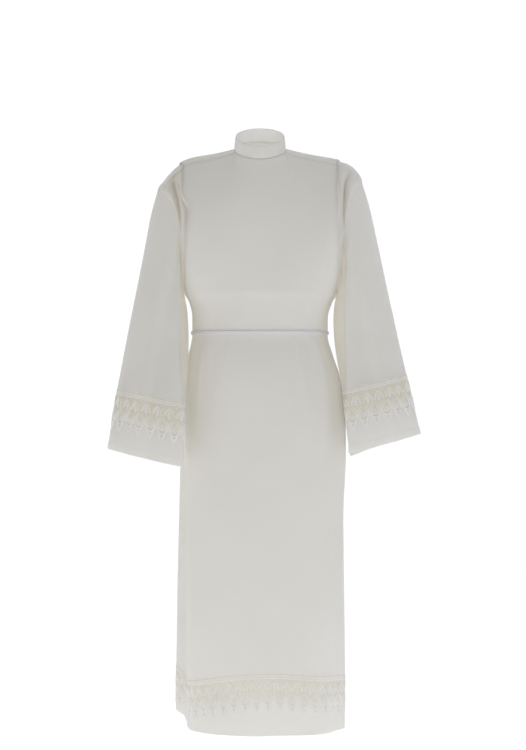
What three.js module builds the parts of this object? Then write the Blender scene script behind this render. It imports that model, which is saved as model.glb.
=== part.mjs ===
// A priest's alb, worn: a long white robe that keeps its worn form with nobody in it.
// It has a stand collar, a pleat folded out towards each shoulder, wide set-in sleeves,
// a braided waist cord, and lace bands above both cuffs and the hem.
//
// Millimetres. +Z is up, the front faces -Y, and +X is the wearer's left side.
// The origin is between the shoulders, at the base of the neck, where the wearer holds it up.

import * as THREE from "three";

// ---- Walls and gaps ------------------------------------------------------------------

const CLOTH = 2; // wall of the robe
const LACE = 1.2; // wall of a lace band
const LACE_STANDOFF = 1; // lace lies this far outside the cloth under it
const CORD = { height: 7, thick: 3, standoff: 0.5 };
const SEAM_GAP = 0.4; // between two pieces that are sewn to each other

// ---- The cut, across the body --------------------------------------------------------
// Positions across a panel are counted in half repeats of the lace, from the centre line
// to the side seam, so that the points of the lace fall evenly round the hem.

const SIDE = 21;
const NECK = 6; // the neckline ends here and the shoulder seam starts
const PLEAT = 17; // the edge of the folded pleat
const PLEAT_UNDER = 17.5; // the cloth that lies under that edge
const HALF_COLUMNS = [0, 2, 4, NECK, 8, 10, 12, 14, 15.75, PLEAT, PLEAT_UNDER, 18.5, 19.75, SIDE];
const COLUMNS = [...HALF_COLUMNS.slice(1).map((k) => -k).reverse(), ...HALF_COLUMNS];

// ---- The body below the arms, a level ring for each row -------------------------------
// left and right are from the centre to the wearer's own side, front and back are from the
// side seam to the front and back, seam is where the side seam lies, tuck is how far the
// right side of the front is drawn in behind a fold, and square is the ring's exponent.

const WAIST = -448;
const HEM = -1408;
const ARMPIT = -345;
const BODY = [
  { z: HEM, left: 203, right: 211, tuck: 31, front: 157, back: 152, seam: 16, square: 2.6 },
  { z: -1245, left: 203.5, right: 209, tuck: 28, front: 156, back: 149, seam: 15, square: 2.6 },
  { z: -1080, left: 202, right: 207, tuck: 25, front: 154, back: 146, seam: 15, square: 2.6 },
  { z: -900, left: 200.5, right: 203, tuck: 21, front: 151, back: 142, seam: 14, square: 2.6 },
  { z: -750, left: 207, right: 199, tuck: 17, front: 146, back: 137, seam: 12, square: 2.5 },
  { z: -640, left: 206, right: 196, tuck: 12, front: 140, back: 132, seam: 10, square: 2.5 },
  { z: -560, left: 197, right: 191, tuck: 6, front: 131, back: 125, seam: 8, square: 2.4 },
  { z: -500, left: 178, right: 177, tuck: 2, front: 117, back: 112, seam: 5, square: 2.4 },
  { z: WAIST - 6, left: 166, right: 166, tuck: 0, front: 105, back: 101, seam: 3, square: 2.4 },
  { z: WAIST, left: 166, right: 166, tuck: 0, front: 105, back: 101, seam: 3, square: 2.4 },
  { z: WAIST + 6, left: 166, right: 166, tuck: 0, front: 105, back: 101, seam: 3, square: 2.4 },
  { z: -408, left: 166, right: 166, tuck: 0, front: 108, back: 106, seam: 2, square: 2.4 },
  { z: -374, left: 174, right: 173, tuck: 0, front: 112, back: 112, seam: 1, square: 2.4 },
  { z: ARMPIT, left: 188, right: 187, tuck: 0, front: 116, back: 117, seam: 0, square: 2.4 },
];
const WAIST_ROW = BODY.findIndex((ring) => ring.z === WAIST);
const CHEST = BODY.at(-1);
const TUCK_SPREAD = 2.2; // the back comes out of the tuck over this much of its width
// Beside the tuck the back's hem is drawn up: where, how wide and how high, how far from the
// side seam it starts, and the height where it has died away.
const DRAWN_UP = { across: -17, wide: 4.5, high: 27, from_seam: 1.2, gone: -1080 };

// The skirt hangs a little turned: its front lies towards the wearer's left.
const TURN = { from: WAIST - 6, at_hem: 6 };

// ---- The neck, the shoulders and the armholes -----------------------------------------

// The neckline rises from the front to the back: rise_power below 1 makes it rise early.
const NECKLINE = { width: 63, depth: 65, centre: 5, front: -28, back: 28, rise_power: 0.9 };
const SEAM_ANGLE = 75; // where the shoulder seam meets the neckline, from the centre front
const RIDGE_ANGLE = 90; // where the top of the shoulder meets it
const COLLAR = { height: 32, back_rise: 2, lean: 0.95 };

// An armhole is a loop of 20 steps from the armpit by the front to the top and round.
const ARMHOLE_STEPS = 20;
const STEP_ANGLE = 360 / ARMHOLE_STEPS;
const FRONT_ROWS = 9; // steps from the armpit up to the shoulder seam
const RIDGE_ROWS = 10; // steps from the armpit up the back to the top of the shoulder
const ARMHOLE = { depth: 72, flare_power: 6 };

// Each shoulder: how high its tip is, its slope, how much more it falls towards the tip
// and how suddenly, and how far its armhole swells out between the armpit and the tip.
const SHOULDERS = {
  left: { sign: 1, tip: -80, slope: 0.25, fall: 37, sudden: 8, swell: 20 },
  right: { sign: -1, tip: -97, slope: 0.25, fall: 54, sudden: 2.6, swell: 5 },
};
const FALL_START = 150; // the shoulders start to fall away here, from the centre line
const SHOULDER_SEAM = { forward: 27, below_ridge: 14 };
const SHOULDER_SPREAD = 1.13; // widens the columns from the neck to the shoulder's tip

// The centre lines of the chest and the back swell towards the armpit level.
const CENTRE_SWELL = 2.8;
const TOP_PULL = 3.2; // how late a row takes on the line of the shoulder

// ---- Pleats and folds -------------------------------------------------------------------
// How far the pleat's edge stands off the cloth under it, from the top down.

const PLEAT_RISE = [
  { z: -20, rise: 4 },
  { z: -90, rise: 8 },
  { z: -300, rise: 8 },
  { z: -405, rise: 3 },
  { z: WAIST + 6, rise: 0 },
  { z: WAIST - 6, rise: 0 },
  { z: -500, rise: 3 },
  { z: -640, rise: 4 },
  { z: -900, rise: 0 },
];
const PLEAT_START = 9; // the cloth starts to lift towards the pleat's edge here

// Each fold: across is its place, wide its spread, deep how far it stands out (or in),
// and it grows between the heights from and full, both measured down from the neck.
const FOLDS = {
  front: [
    { across: -14.5, wide: 2.2, deep: 4, from: -700, full: -1250 },
    { across: -1.5, wide: 3.2, deep: 4, from: -620, full: -1250 },
    { across: 3.5, wide: 2.6, deep: -4, from: -760, full: -1300 },
    { across: 9, wide: 3, deep: 4, from: -640, full: -1250 },
    { across: 14.2, wide: 2, deep: -5, from: -470, full: -700 },
    { across: 17.2, wide: 1.6, deep: 6, from: -470, full: -700 },
  ],
  back: [
    { across: -15.5, wide: 2.2, deep: 7, from: -480, full: -900 },
    { across: -10.5, wide: 2.4, deep: -8, from: -470, full: -800 },
    { across: -5.5, wide: 2.4, deep: 7, from: -480, full: -900 },
    { across: 0, wide: 2.2, deep: -7, from: -470, full: -820 },
    { across: 5, wide: 2.3, deep: 8, from: -490, full: -1000 },
    { across: 10.5, wide: 2.2, deep: -7, from: -470, full: -760 },
    { across: 15.5, wide: 2.2, deep: 6, from: -480, full: -940 },
  ],
};

// ---- The sleeves, a ring for each row from the armhole to the cuff ---------------------
// outer and inner are the ring's ends: x is away from the centre line and z is the height.
// outer_y and inner_y say how far each end swings forward, and depth is half the ring's
// thickness from front to back.

const SLEEVES = {
  left: [
    { outer: [250, -80], inner: [188, ARMPIT], outer_y: 0, inner_y: 0, depth: 72 },
    { outer: [270, -147], inner: [185, -362], outer_y: -3, inner_y: -3, depth: 71.5 },
    { outer: [284, -213], inner: [181, -388], outer_y: -7, inner_y: -7, depth: 70 },
    { outer: [298, -280], inner: [179, -420], outer_y: -11, inner_y: -13, depth: 67.5 },
    { outer: [312, -347], inner: [180, -456], outer_y: -16, inner_y: -21, depth: 65 },
    { outer: [326, -413], inner: [184, -497], outer_y: -21, inner_y: -33, depth: 61.5 },
    { outer: [340, -480], inner: [191, -540], outer_y: -26, inner_y: -47, depth: 58 },
    { outer: [355, -547], inner: [198, -587], outer_y: -31, inner_y: -61, depth: 54 },
    { outer: [373, -620], inner: [207, -663], outer_y: -35, inner_y: -76, depth: 49.5 },
    { outer: [391, -693], inner: [216, -739], outer_y: -40, inner_y: -82, depth: 46 },
  ],
  right: [
    { outer: [250, -97], inner: [187, ARMPIT], outer_y: 0, inner_y: 0, depth: 72 },
    { outer: [268, -166], inner: [183, -364], outer_y: -4, inner_y: -5, depth: 71 },
    { outer: [281, -236], inner: [177, -394], outer_y: -9, inner_y: -13, depth: 69 },
    { outer: [294, -305], inner: [174, -431], outer_y: -15, inner_y: -29, depth: 66.5 },
    { outer: [307, -375], inner: [172.5, -474], outer_y: -21, inner_y: -50, depth: 63 },
    { outer: [320, -444], inner: [173, -520], outer_y: -27, inner_y: -73, depth: 58.5 },
    { outer: [333, -514], inner: [175, -568], outer_y: -33, inner_y: -95, depth: 54 },
    { outer: [346, -583], inner: [180, -617], outer_y: -39, inner_y: -109, depth: 50 },
    { outer: [358, -656], inner: [182, -694], outer_y: -44, inner_y: -118, depth: 46.5 },
    { outer: [369, -729], inner: [186, -770], outer_y: -48, inner_y: -120, depth: 44 },
  ],
};
const SLEEVE_SQUARE = 2.25;
const CUFF_ROW = SLEEVES.left.length - 1;
const CUFF_LACE_TOP = CUFF_ROW - 2; // the row that the cuff's lace hangs from
const ELBOW_ROW = 4;

// Soft folds down a sleeve: angle is round the ring from the armpit by the front, and the
// fold grows between two rows.
const SLEEVE_FOLDS = {
  left: [
    { angle: 45, wide: 17, deep: 10, from: 0, full: 2 },
    { angle: 95, wide: 24, deep: -5, from: 1, full: 5 },
    { angle: 235, wide: 24, deep: -6, from: 1, full: 5 },
    { angle: 290, wide: 24, deep: 5, from: 1, full: 5 },
  ],
  right: [
    { angle: 45, wide: 17, deep: 9, from: 0, full: 2 },
    { angle: 108, wide: 24, deep: -5, from: 1, full: 5 },
    { angle: 232, wide: 24, deep: -6, from: 1, full: 5 },
    { angle: 290, wide: 24, deep: 5, from: 1, full: 5 },
  ],
};

// ---- The lace -----------------------------------------------------------------------------

const CUFF_HALF_REPEATS = 36;
const CUFF_LACE = { notch: CUFF_ROW - 0.98, point: CUFF_ROW - 0.7 };
// Heights above the hem, at the centre lines and at the side seams.
const HEM_LACE = {
  top: { centre: 150, left: 131, right: 116 },
  notch: { centre: 80, left: 53, right: 37 },
  point: { centre: 59, left: 31, right: 15 },
};

// ---- Small helpers ---------------------------------------------------------------------

const radians = THREE.MathUtils.degToRad;
const lerp = THREE.MathUtils.lerp;
const vector = (x, y, z) => new THREE.Vector3(x, y, z);
const smooth = (value, from, to) => {
  const t = THREE.MathUtils.clamp((value - from) / (to - from), 0, 1);
  return t * t * (3 - 2 * t);
};
const bump = (distance, wide) => Math.exp(-((distance / wide) ** 2));
const powerOf = (value, power) => Math.sign(value) * Math.abs(value) ** power;

// The value of a table's column at height z, its rows sorted by falling z.
function atHeight(rows, column, z) {
  const next = rows.findIndex((row) => row.z <= z);
  if (next === 0) return rows[0][column];
  if (next < 0) return rows.at(-1)[column];
  const [above, below] = [rows[next - 1], rows[next]];
  return lerp(above[column], below[column], (above.z - z) / (above.z - below.z));
}

// Places along a quarter of a squared oval, from its middle (0) to its side (1), by the
// length of cloth: returns { out, in }, its shares of the half width and of the depth.
function quarterOval(width, depth, square) {
  const STEPS = 240;
  const at = (t) => ({
    out: Math.sin(t) ** (2 / square),
    in: Math.max(0, Math.cos(t)) ** (2 / square),
  });
  const lengths = [0];
  const places = [at(0)];
  for (let i = 1; i <= STEPS; i++) {
    const place = at((i / STEPS) * (Math.PI / 2));
    const last = places.at(-1);
    const run = Math.hypot((place.out - last.out) * width, (place.in - last.in) * depth);
    places.push(place);
    lengths.push(lengths.at(-1) + run);
  }
  return (share) => {
    const wanted = share * lengths.at(-1);
    const next = Math.max(1, lengths.findIndex((length) => length >= wanted - 1e-9));
    const t = (wanted - lengths[next - 1]) / (lengths[next] - lengths[next - 1]);
    return {
      out: lerp(places[next - 1].out, places[next].out, t),
      in: lerp(places[next - 1].in, places[next].in, t),
    };
  };
}

// ---- Curves that pieces share ------------------------------------------------------------

// A point of the neckline, by its angle from the centre front.
function neckPoint(angle) {
  const a = radians(angle);
  const risen = ((1 - Math.cos(a)) / 2) ** NECKLINE.rise_power;
  const height = lerp(NECKLINE.front, NECKLINE.back, risen);
  return vector(NECKLINE.width * Math.sin(a), NECKLINE.centre - NECKLINE.depth * Math.cos(a), height);
}

// A point of an armhole, by its angle from the armpit by the front.
function armholePoint(shoulder, angle) {
  const { sign, tip, swell } = SHOULDERS[shoulder];
  const a = radians(angle);
  const up = (1 - Math.cos(a)) / 2;
  const flare = SLEEVES[shoulder][0].outer[0] - CHEST[shoulder] - swell;
  const x = CHEST[shoulder] + swell * Math.abs(Math.sin(a / 2)) + flare * up ** ARMHOLE.flare_power;
  return vector(sign * x, -ARMHOLE.depth * Math.sin(a), lerp(ARMPIT, tip, up));
}

// Moves a curve's points so that it starts and ends exactly where its neighbours do.
function pinned(at, share, start, end) {
  const from_start = start.clone().sub(at(0)).multiplyScalar(1 - share);
  const from_end = end.clone().sub(at(1)).multiplyScalar(share);
  return at(share).add(from_start).add(from_end);
}

// The top of a shoulder, from the neck (0) to the tip (1).
function ridgePoint(shoulder, share) {
  const { sign, slope, fall, sudden } = SHOULDERS[shoulder];
  const tip = SLEEVES[shoulder][0].outer[0];
  const neck = neckPoint(sign * RIDGE_ANGLE);
  const at = (t) => {
    const x = lerp(NECKLINE.width, tip, t ** SHOULDER_SPREAD);
    const past = Math.max(0, (x - FALL_START) / (tip - FALL_START));
    const z = neck.z - slope * (x - NECKLINE.width) - fall * past ** sudden;
    return vector(sign * x, lerp(NECKLINE.centre, 0, t), z);
  };
  return pinned(at, share, neck, armholePoint(shoulder, 180));
}

// The shoulder seam, which lies just in front of that top.
function seamPoint(shoulder, share) {
  const { sign } = SHOULDERS[shoulder];
  const lift = vector(0, -SHOULDER_SEAM.forward, -SHOULDER_SEAM.below_ridge);
  const at = (t) => ridgePoint(shoulder, t).add(lift);
  const neck = neckPoint(sign * SEAM_ANGLE);
  return pinned(at, share, neck, armholePoint(shoulder, FRONT_ROWS * STEP_ANGLE));
}

// ---- The body's two panels -----------------------------------------------------------------

const shoulderOf = (across) => (across < 0 ? "right" : "left");
const pastNeck = (across) => (Math.abs(across) - NECK) / (SIDE - NECK);

// How far the back's hem is drawn up, at a place across and a height.
function drawnUp(across, z) {
  const beside = smooth(SIDE - Math.abs(across), 0, DRAWN_UP.from_seam);
  const low = 1 - smooth(z, HEM, DRAWN_UP.gone);
  return DRAWN_UP.high * bump(across - DRAWN_UP.across, DRAWN_UP.wide) * beside * low;
}

// A point of the skirt or the waist, on the ring of one row of BODY.
function ringPoint(panel, ring, across) {
  const from_side = SIDE - Math.abs(across);
  const tucked = panel === "front" ? 1 : bump(from_side, TUCK_SPREAD);
  const width = across < 0 ? ring.right - ring.tuck * tucked : ring.left;
  const place = quarterOval(width, ring[panel], ring.square)(Math.abs(across) / SIDE);
  const facing = panel === "front" ? -1 : 1;
  const turn = TURN.at_hem * smooth(-ring.z, -TURN.from, -HEM);
  return vector(
    Math.sign(across) * width * place.out - facing * turn * place.in,
    ring.seam + facing * ring[panel] * place.in,
    ring.z + (panel === "back" ? drawnUp(across, ring.z) : 0),
  );
}

// The line where a panel ends at the top: neckline and shoulder seam in front, and
// neckline and the shoulder's ridge at the back.
function topPoint(panel, across) {
  const shoulder = shoulderOf(across);
  const sign = SHOULDERS[shoulder].sign;
  const share = Math.abs(across) / NECK;
  if (panel === "front") {
    if (share <= 1) return neckPoint(sign * SEAM_ANGLE * share);
    return seamPoint(shoulder, pastNeck(across));
  }
  if (share <= 1) return neckPoint(sign * (180 - (180 - RIDGE_ANGLE) * share));
  return ridgePoint(shoulder, pastNeck(across));
}

// A point between the armpit level and that top line, rows counted from the armpit.
function chestPoint(panel, row, across) {
  const rows = panel === "front" ? FRONT_ROWS : RIDGE_ROWS;
  const facing = panel === "front" ? -1 : 1;
  const centre_top = topPoint(panel, 0);
  const quarter = quarterOval(CHEST[shoulderOf(across)], CHEST[panel], CHEST.square);
  const place = quarter(Math.abs(across) / SIDE);
  const angle = -facing * row * STEP_ANGLE;
  const arched = (share) => {
    const edge = armholePoint(shoulderOf(across), angle);
    const swell = 1 - share ** CENTRE_SWELL;
    const centre_y = centre_top.y + (facing * CHEST[panel] - centre_top.y) * swell;
    const centre_z = lerp(ARMPIT, centre_top.z, share);
    return vector(
      edge.x * place.out,
      lerp(edge.y, centre_y, place.in),
      lerp(edge.z, centre_z, place.in),
    );
  };
  const share = row / rows;
  const top_edge = armholePoint(shoulderOf(across), -facing * rows * STEP_ANGLE);
  const arched_top = vector(
    top_edge.x * place.out,
    lerp(top_edge.y, centre_top.y, place.in),
    lerp(top_edge.z, centre_top.z, place.in),
  );
  const pull = topPoint(panel, across).sub(arched_top).multiplyScalar(share ** TOP_PULL);
  return arched(share).add(pull);
}

// How far the cloth stands out at a place of a panel: its pleat and its folds.
function clothRise(panel, across, z) {
  const lifted = Math.abs(across) <= PLEAT ? smooth(Math.abs(across), PLEAT_START, PLEAT) : 0;
  let rise = atHeight(PLEAT_RISE, "rise", z) * lifted;
  for (const fold of FOLDS[panel]) {
    const grown = smooth(-z, -fold.from, -fold.full);
    rise += fold.deep * grown * bump(across - fold.across, fold.wide);
  }
  return Math.abs(across) === SIDE ? 0 : rise;
}

// ---- Sheets: points in rows, and the squares of cloth between them ---------------------

// columns are the places across, rows the number of rows, and at(row, column) gives a
// point, or null where the sheet has none. A closed sheet joins its last column to its first.
function sheet(name, columns, rows, at, closed = false) {
  const made = { name, columns, rows, closed, points: [], quads: [], normals: [] };
  for (let row = 0; row < rows; row++) {
    for (let column = 0; column < columns.length; column++) made.points.push(at(row, column));
  }
  const last = closed ? columns.length : columns.length - 1;
  const index = (row, column) => row * columns.length + (column % columns.length);
  for (let row = 0; row + 1 < rows; row++) {
    for (let column = 0; column < last; column++) {
      const corners = [
        index(row, column),
        index(row, column + 1),
        index(row + 1, column + 1),
        index(row + 1, column),
      ];
      if (corners.every((i) => made.points[i])) made.quads.push(corners);
    }
  }
  faceOut(made);
  return made;
}

function quadNormal(points, [a, b, c, d]) {
  const across = points[c].clone().sub(points[a]);
  return across.cross(points[d].clone().sub(points[b])).multiplyScalar(0.5);
}

// Turns every square so that the sheet faces away from the middle of its rows.
function faceOut(made) {
  let outward = 0;
  for (const quad of made.quads) {
    const row = Math.floor(quad[0] / made.columns.length);
    const start = row * made.columns.length;
    const line = made.points.slice(start, start + made.columns.length).filter(Boolean);
    const middle = line.reduce((sum, p) => sum.add(p), vector(0, 0, 0)).divideScalar(line.length);
    outward += quadNormal(made.points, quad).dot(made.points[quad[0]].clone().sub(middle));
  }
  made.turned = outward < 0;
  if (made.turned) made.quads.forEach((quad) => quad.reverse());
}

const keyOf = (p) => [p.x, p.y, p.z].map((value) => Math.round(value * 100)).join();

// Gives each point its normal. Sheets that meet at a seam get the same ones there, so that
// their cut edges lie face to face.
function shareNormals(sheets) {
  const sums = new Map();
  for (const made of sheets) {
    for (const quad of made.quads) {
      const normal = quadNormal(made.points, quad).normalize();
      for (const i of quad) {
        const key = keyOf(made.points[i]);
        if (!sums.has(key)) sums.set(key, vector(0, 0, 0));
        sums.get(key).add(normal);
      }
    }
  }
  for (const made of sheets) {
    made.normals = made.points.map((p) => p && sums.get(keyOf(p)).clone().normalize());
  }
}

// The edges that only one square of the sheet uses, each with its square.
function openEdges(made) {
  const edges = new Map();
  for (const quad of made.quads) {
    quad.forEach((a, i) => {
      const b = quad[(i + 1) % quad.length];
      const key = [Math.min(a, b), Math.max(a, b)].join();
      if (edges.has(key)) edges.delete(key);
      else edges.set(key, { a, b, quad });
    });
  }
  return [...edges.values()];
}

// Takes half the seam's gap off each sheet, along the edges that it shares with another.
function trimSeams(sheets) {
  const owners = new Map();
  for (const made of sheets) {
    for (const p of new Set(made.points.filter(Boolean).map(keyOf))) {
      owners.set(p, (owners.get(p) ?? 0) + 1);
    }
  }
  for (const made of sheets) {
    const inward = new Map();
    for (const { a, b, quad } of openEdges(made)) {
      const shared = [a, b].every((i) => owners.get(keyOf(made.points[i])) > 1);
      if (!shared) continue;
      const along = made.points[b].clone().sub(made.points[a]).normalize();
      const middle = quad.reduce((sum, i) => sum.add(made.points[i]), vector(0, 0, 0));
      const towards = middle.divideScalar(quad.length).sub(made.points[a]);
      for (const i of [a, b]) {
        const side = along.clone().cross(made.normals[i]).normalize();
        if (side.dot(towards) < 0) side.negate();
        if (!inward.has(i)) inward.set(i, []);
        inward.get(i).push(side);
      }
    }
    for (const [i, sides] of inward) {
      const sum = sides.reduce((total, side) => total.add(side), vector(0, 0, 0));
      const spread = sides.length > 1 ? Math.max(0.3, 1 + sides[0].dot(sides[1])) : 1;
      made.points[i] = made.points[i].clone().add(sum.multiplyScalar(SEAM_GAP / 2 / spread));
    }
  }
}

// A closed wall between two distances from the sheet, along its normals.
function wall(made, inner, outer) {
  const positions = [];
  const corner = (i, offset) => made.points[i].clone().addScaledVector(made.normals[i], offset);
  const triangle = (...corners) => corners.forEach((p) => positions.push(p.x, p.y, p.z));
  const face = (p, q, r, s) => {
    triangle(p, q, r);
    triangle(p, r, s);
  };
  for (const quad of made.quads) {
    face(...quad.map((i) => corner(i, outer)));
    face(...quad.map((i) => corner(i, inner)).reverse());
  }
  for (const { a, b } of openEdges(made)) {
    face(corner(a, outer), corner(a, inner), corner(b, inner), corner(b, outer));
  }
  const geometry = new THREE.BufferGeometry();
  geometry.setAttribute("position", new THREE.Float32BufferAttribute(positions, 3));
  geometry.computeVertexNormals();
  return geometry;
}

// ---- The robe's own pieces ----------------------------------------------------------------

// A body panel: the rings of BODY, then the rows of the chest. The back panel has one more
// row, which reaches over the shoulders to the seam and is cut out at the neck.
function panelSheet(panel) {
  const chest_rows = panel === "front" ? FRONT_ROWS : RIDGE_ROWS;
  const rows = BODY.length + chest_rows + (panel === "back" ? 1 : 0);
  return sheet(`${panel}_panel`, COLUMNS, rows, (row, column) => {
    const across = COLUMNS[column];
    if (row < BODY.length) return ringPoint(panel, BODY[row], across);
    const chest_row = row - BODY.length + 1;
    if (chest_row <= chest_rows) return chestPoint(panel, chest_row, across);
    return Math.abs(across) < NECK ? null : seamPoint(shoulderOf(across), pastNeck(across));
  });
}

// The rows of a sheet from one to another, as a sheet of its own.
function rowsOf(made, name, from, to) {
  const count = made.columns.length;
  const kept = (i) => i >= from * count && i < (to + 1) * count;
  const only = (list) => list.map((value, i) => (kept(i) ? value : null));
  const quads = made.quads.filter((quad) => quad.every(kept));
  return { ...made, name, quads, points: only(made.points), normals: only(made.normals) };
}

// Lifts the pleat and the folds out of a panel, along its normals.
function foldCloth(made, panel) {
  made.points = made.points.map((p, i) => {
    if (!p) return p;
    const across = made.columns[i % made.columns.length];
    return p.clone().addScaledVector(made.normals[i], clothRise(panel, across, p.z));
  });
}

// A sleeve: the armhole's own loop first, and then the rings of SLEEVES.
function sleeveSheet(side) {
  const rings = SLEEVES[side];
  const sign = SHOULDERS[side].sign;
  const ring_point = (ring, angle, rise) => {
    const a = radians(angle);
    const along = powerOf(Math.cos(a), 2 / SLEEVE_SQUARE);
    const over = powerOf(Math.sin(a), 2 / SLEEVE_SQUARE);
    const share = (1 - along) / 2;
    return vector(
      sign * lerp(ring.inner[0], ring.outer[0], share),
      lerp(ring.inner_y, ring.outer_y, share) - (ring.depth + rise) * over,
      lerp(ring.inner[1], ring.outer[1], share),
    );
  };
  const angles = Array.from({ length: ARMHOLE_STEPS }, (_, i) => i * STEP_ANGLE);
  return sheet(
    `${side}_sleeve`,
    angles,
    rings.length,
    (row, column) => {
      const angle = angles[column];
      const share = row / (rings.length - 1);
      const rise = SLEEVE_FOLDS[side].reduce((sum, fold) => {
        const turned = ((angle - fold.angle + 540) % 360) - 180;
        return sum + fold.deep * smooth(row, fold.from, fold.full) * bump(turned, fold.wide);
      }, 0);
      const armhole = armholePoint(side, angle).sub(ring_point(rings[0], angle, 0));
      return ring_point(rings[row], angle, rise).addScaledVector(armhole, (1 - share) ** 3);
    },
    true,
  );
}

// The stand collar, whose lower edge has the points of the panels' necklines.
function collarSheet() {
  const front = HALF_COLUMNS.filter((k) => k <= NECK).map((k) => (SEAM_ANGLE * k) / NECK);
  const back = HALF_COLUMNS.filter((k) => k <= NECK).map((k) => 180 - ((180 - RIDGE_ANGLE) * k) / NECK);
  const half = [...front, ...back.reverse()];
  const angles = [...half, ...half.slice(1, -1).reverse().map((angle) => -angle)];
  return sheet(
    "collar",
    angles,
    2,
    (row, column) => {
      const low = neckPoint(angles[column]);
      if (row === 0) return low;
      const behind = (1 - Math.cos(radians(angles[column]))) / 2;
      return vector(
        low.x * COLLAR.lean,
        NECKLINE.centre + (low.y - NECKLINE.centre) * COLLAR.lean,
        low.z + COLLAR.height + COLLAR.back_rise * behind,
      );
    },
    true,
  );
}

// ---- What lies on the robe -------------------------------------------------------------------

// A place on a sheet between its own points, with the normal there. column and row may
// be fractions. It lies on the two triangles that the sheet's wall has between those points.
function placeOn(carrier, row, column) {
  const count = carrier.columns.length;
  const [r, c] = [Math.min(Math.floor(row), carrier.rows - 2), Math.floor(column)];
  const next = carrier.closed ? (c + 1) % count : Math.min(c + 1, count - 1);
  const [across, up] = [column - c, row - r];
  const shares = carrier.turned
    ? { both: Math.max(0, across + up - 1), neither: Math.max(0, 1 - across - up) }
    : { both: Math.min(across, up), neither: 1 - Math.max(across, up) };
  const corners = [
    [r * count + c, shares.neither],
    [r * count + next, across - shares.both],
    [(r + 1) * count + c, up - shares.both],
    [(r + 1) * count + next, shares.both],
  ];
  const mix = (list) =>
    corners.reduce((sum, [i, share]) => sum.addScaledVector(list[i], share), vector(0, 0, 0));
  return { point: mix(carrier.points), normal: mix(carrier.normals).normalize() };
}

// Where a panel has the place `across`, counted in its columns.
function columnAt(across) {
  const next = Math.max(1, COLUMNS.findIndex((k) => k >= across));
  return next - 1 + (across - COLUMNS[next - 1]) / (COLUMNS[next] - COLUMNS[next - 1]);
}

// Where a panel has the height z, counted in its rows.
function rowAt(z) {
  const next = Math.max(1, BODY.findIndex((ring) => ring.z >= z));
  return next - 1 + (z - BODY[next - 1].z) / (BODY[next].z - BODY[next - 1].z);
}

// A band that lies on a sheet: levels(column place) gives the rows of the carrier that
// its own rows lie on.
function bandOn(name, carrier, places, level_count, levels, closed) {
  const spots = [];
  for (let level = 0; level < level_count; level++) {
    for (const place of places) spots.push(placeOn(carrier, levels(place)[level], place));
  }
  const made = sheet(name, places, level_count, (row, column) => spots[row * places.length + column].point, closed);
  made.normals = spots.map((spot) => spot.normal);
  return made;
}

const unique = (values) => [...new Set(values)].sort((a, b) => a - b);
// 1 at the points of the lace's lower edge and 0 in the notches between them.
const pointed = (half_repeats) => Math.abs((((half_repeats % 2) + 2) % 2) - 1);

function hemLaceSheet(panel, carrier) {
  const whole = Array.from({ length: 2 * SIDE + 1 }, (_, i) => i - SIDE);
  const across_places = unique([...whole, ...COLUMNS]);
  const places = across_places.map(columnAt);
  const levels = (place) => {
    const across = across_places[places.indexOf(place)];
    const out = smooth(Math.abs(across), 0, SIDE);
    const height = (edge) => lerp(edge.centre, edge[shoulderOf(across)], out);
    const low = lerp(height(HEM_LACE.notch), height(HEM_LACE.point), pointed(across));
    return [rowAt(HEM + low), rowAt(HEM + height(HEM_LACE.top))];
  };
  return bandOn(`${panel}_hem_lace`, carrier, places, 2, levels, false);
}

function cuffLaceSheet(side, carrier) {
  const per_step = CUFF_HALF_REPEATS / ARMHOLE_STEPS;
  const own = Array.from({ length: CUFF_HALF_REPEATS }, (_, i) => i / per_step);
  const places = unique([...own, ...Array.from({ length: ARMHOLE_STEPS }, (_, i) => i)]);
  const levels = (place) => {
    const low = lerp(CUFF_LACE.notch, CUFF_LACE.point, pointed(Math.round(place * per_step * 2) / 2));
    return [CUFF_LACE_TOP, CUFF_LACE_TOP + 1, low];
  };
  return bandOn(`${side}_cuff_lace`, carrier, places, 3, levels, true);
}

// The waist cord lies on both panels, on the level strip between two rows.
function cordSheet(front, back) {
  const half = CORD.height / 2;
  const count = COLUMNS.length;
  const round = [
    ...COLUMNS.map((_, i) => ({ carrier: front, place: i })),
    ...COLUMNS.map((_, i) => ({ carrier: back, place: count - 1 - i })).slice(1, -1),
  ];
  const spots = [WAIST - half, WAIST + half].map((z) =>
    round.map(({ carrier, place }) => placeOn(carrier, rowAt(z), place)),
  );
  const made = sheet("waist_cord", round, 2, (row, column) => spots[row][column].point, true);
  made.normals = spots.flat().map((spot) => spot.normal);
  return made;
}

// ---- Materials and the finished robe -------------------------------------------------------

const finish = (color, roughness) => new THREE.MeshStandardMaterial({ color, roughness, metalness: 0 });
const CLOTH_FINISH = finish(0xf3f1ec, 0.85);
const LACE_FINISH = finish(0xece6d3, 0.8);
const CORD_FINISH = finish(0xf4f3f0, 0.75);

function piece(made, inner, outer, material) {
  const mesh = new THREE.Mesh(wall(made, inner, outer), material);
  mesh.name = made.name;
  return mesh;
}

const panels = { front: panelSheet("front"), back: panelSheet("back") };
const sleeves = { left: sleeveSheet("left"), right: sleeveSheet("right") };
const sewn = [panels.front, panels.back, sleeves.left, sleeves.right, collarSheet()];
shareNormals(sewn);
foldCloth(panels.front, "front");
foldCloth(panels.back, "back");
shareNormals(sewn);

const lace = [
  hemLaceSheet("front", panels.front),
  hemLaceSheet("back", panels.back),
  cuffLaceSheet("left", sleeves.left),
  cuffLaceSheet("right", sleeves.right),
];
const cord = cordSheet(panels.front, panels.back);

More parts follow.
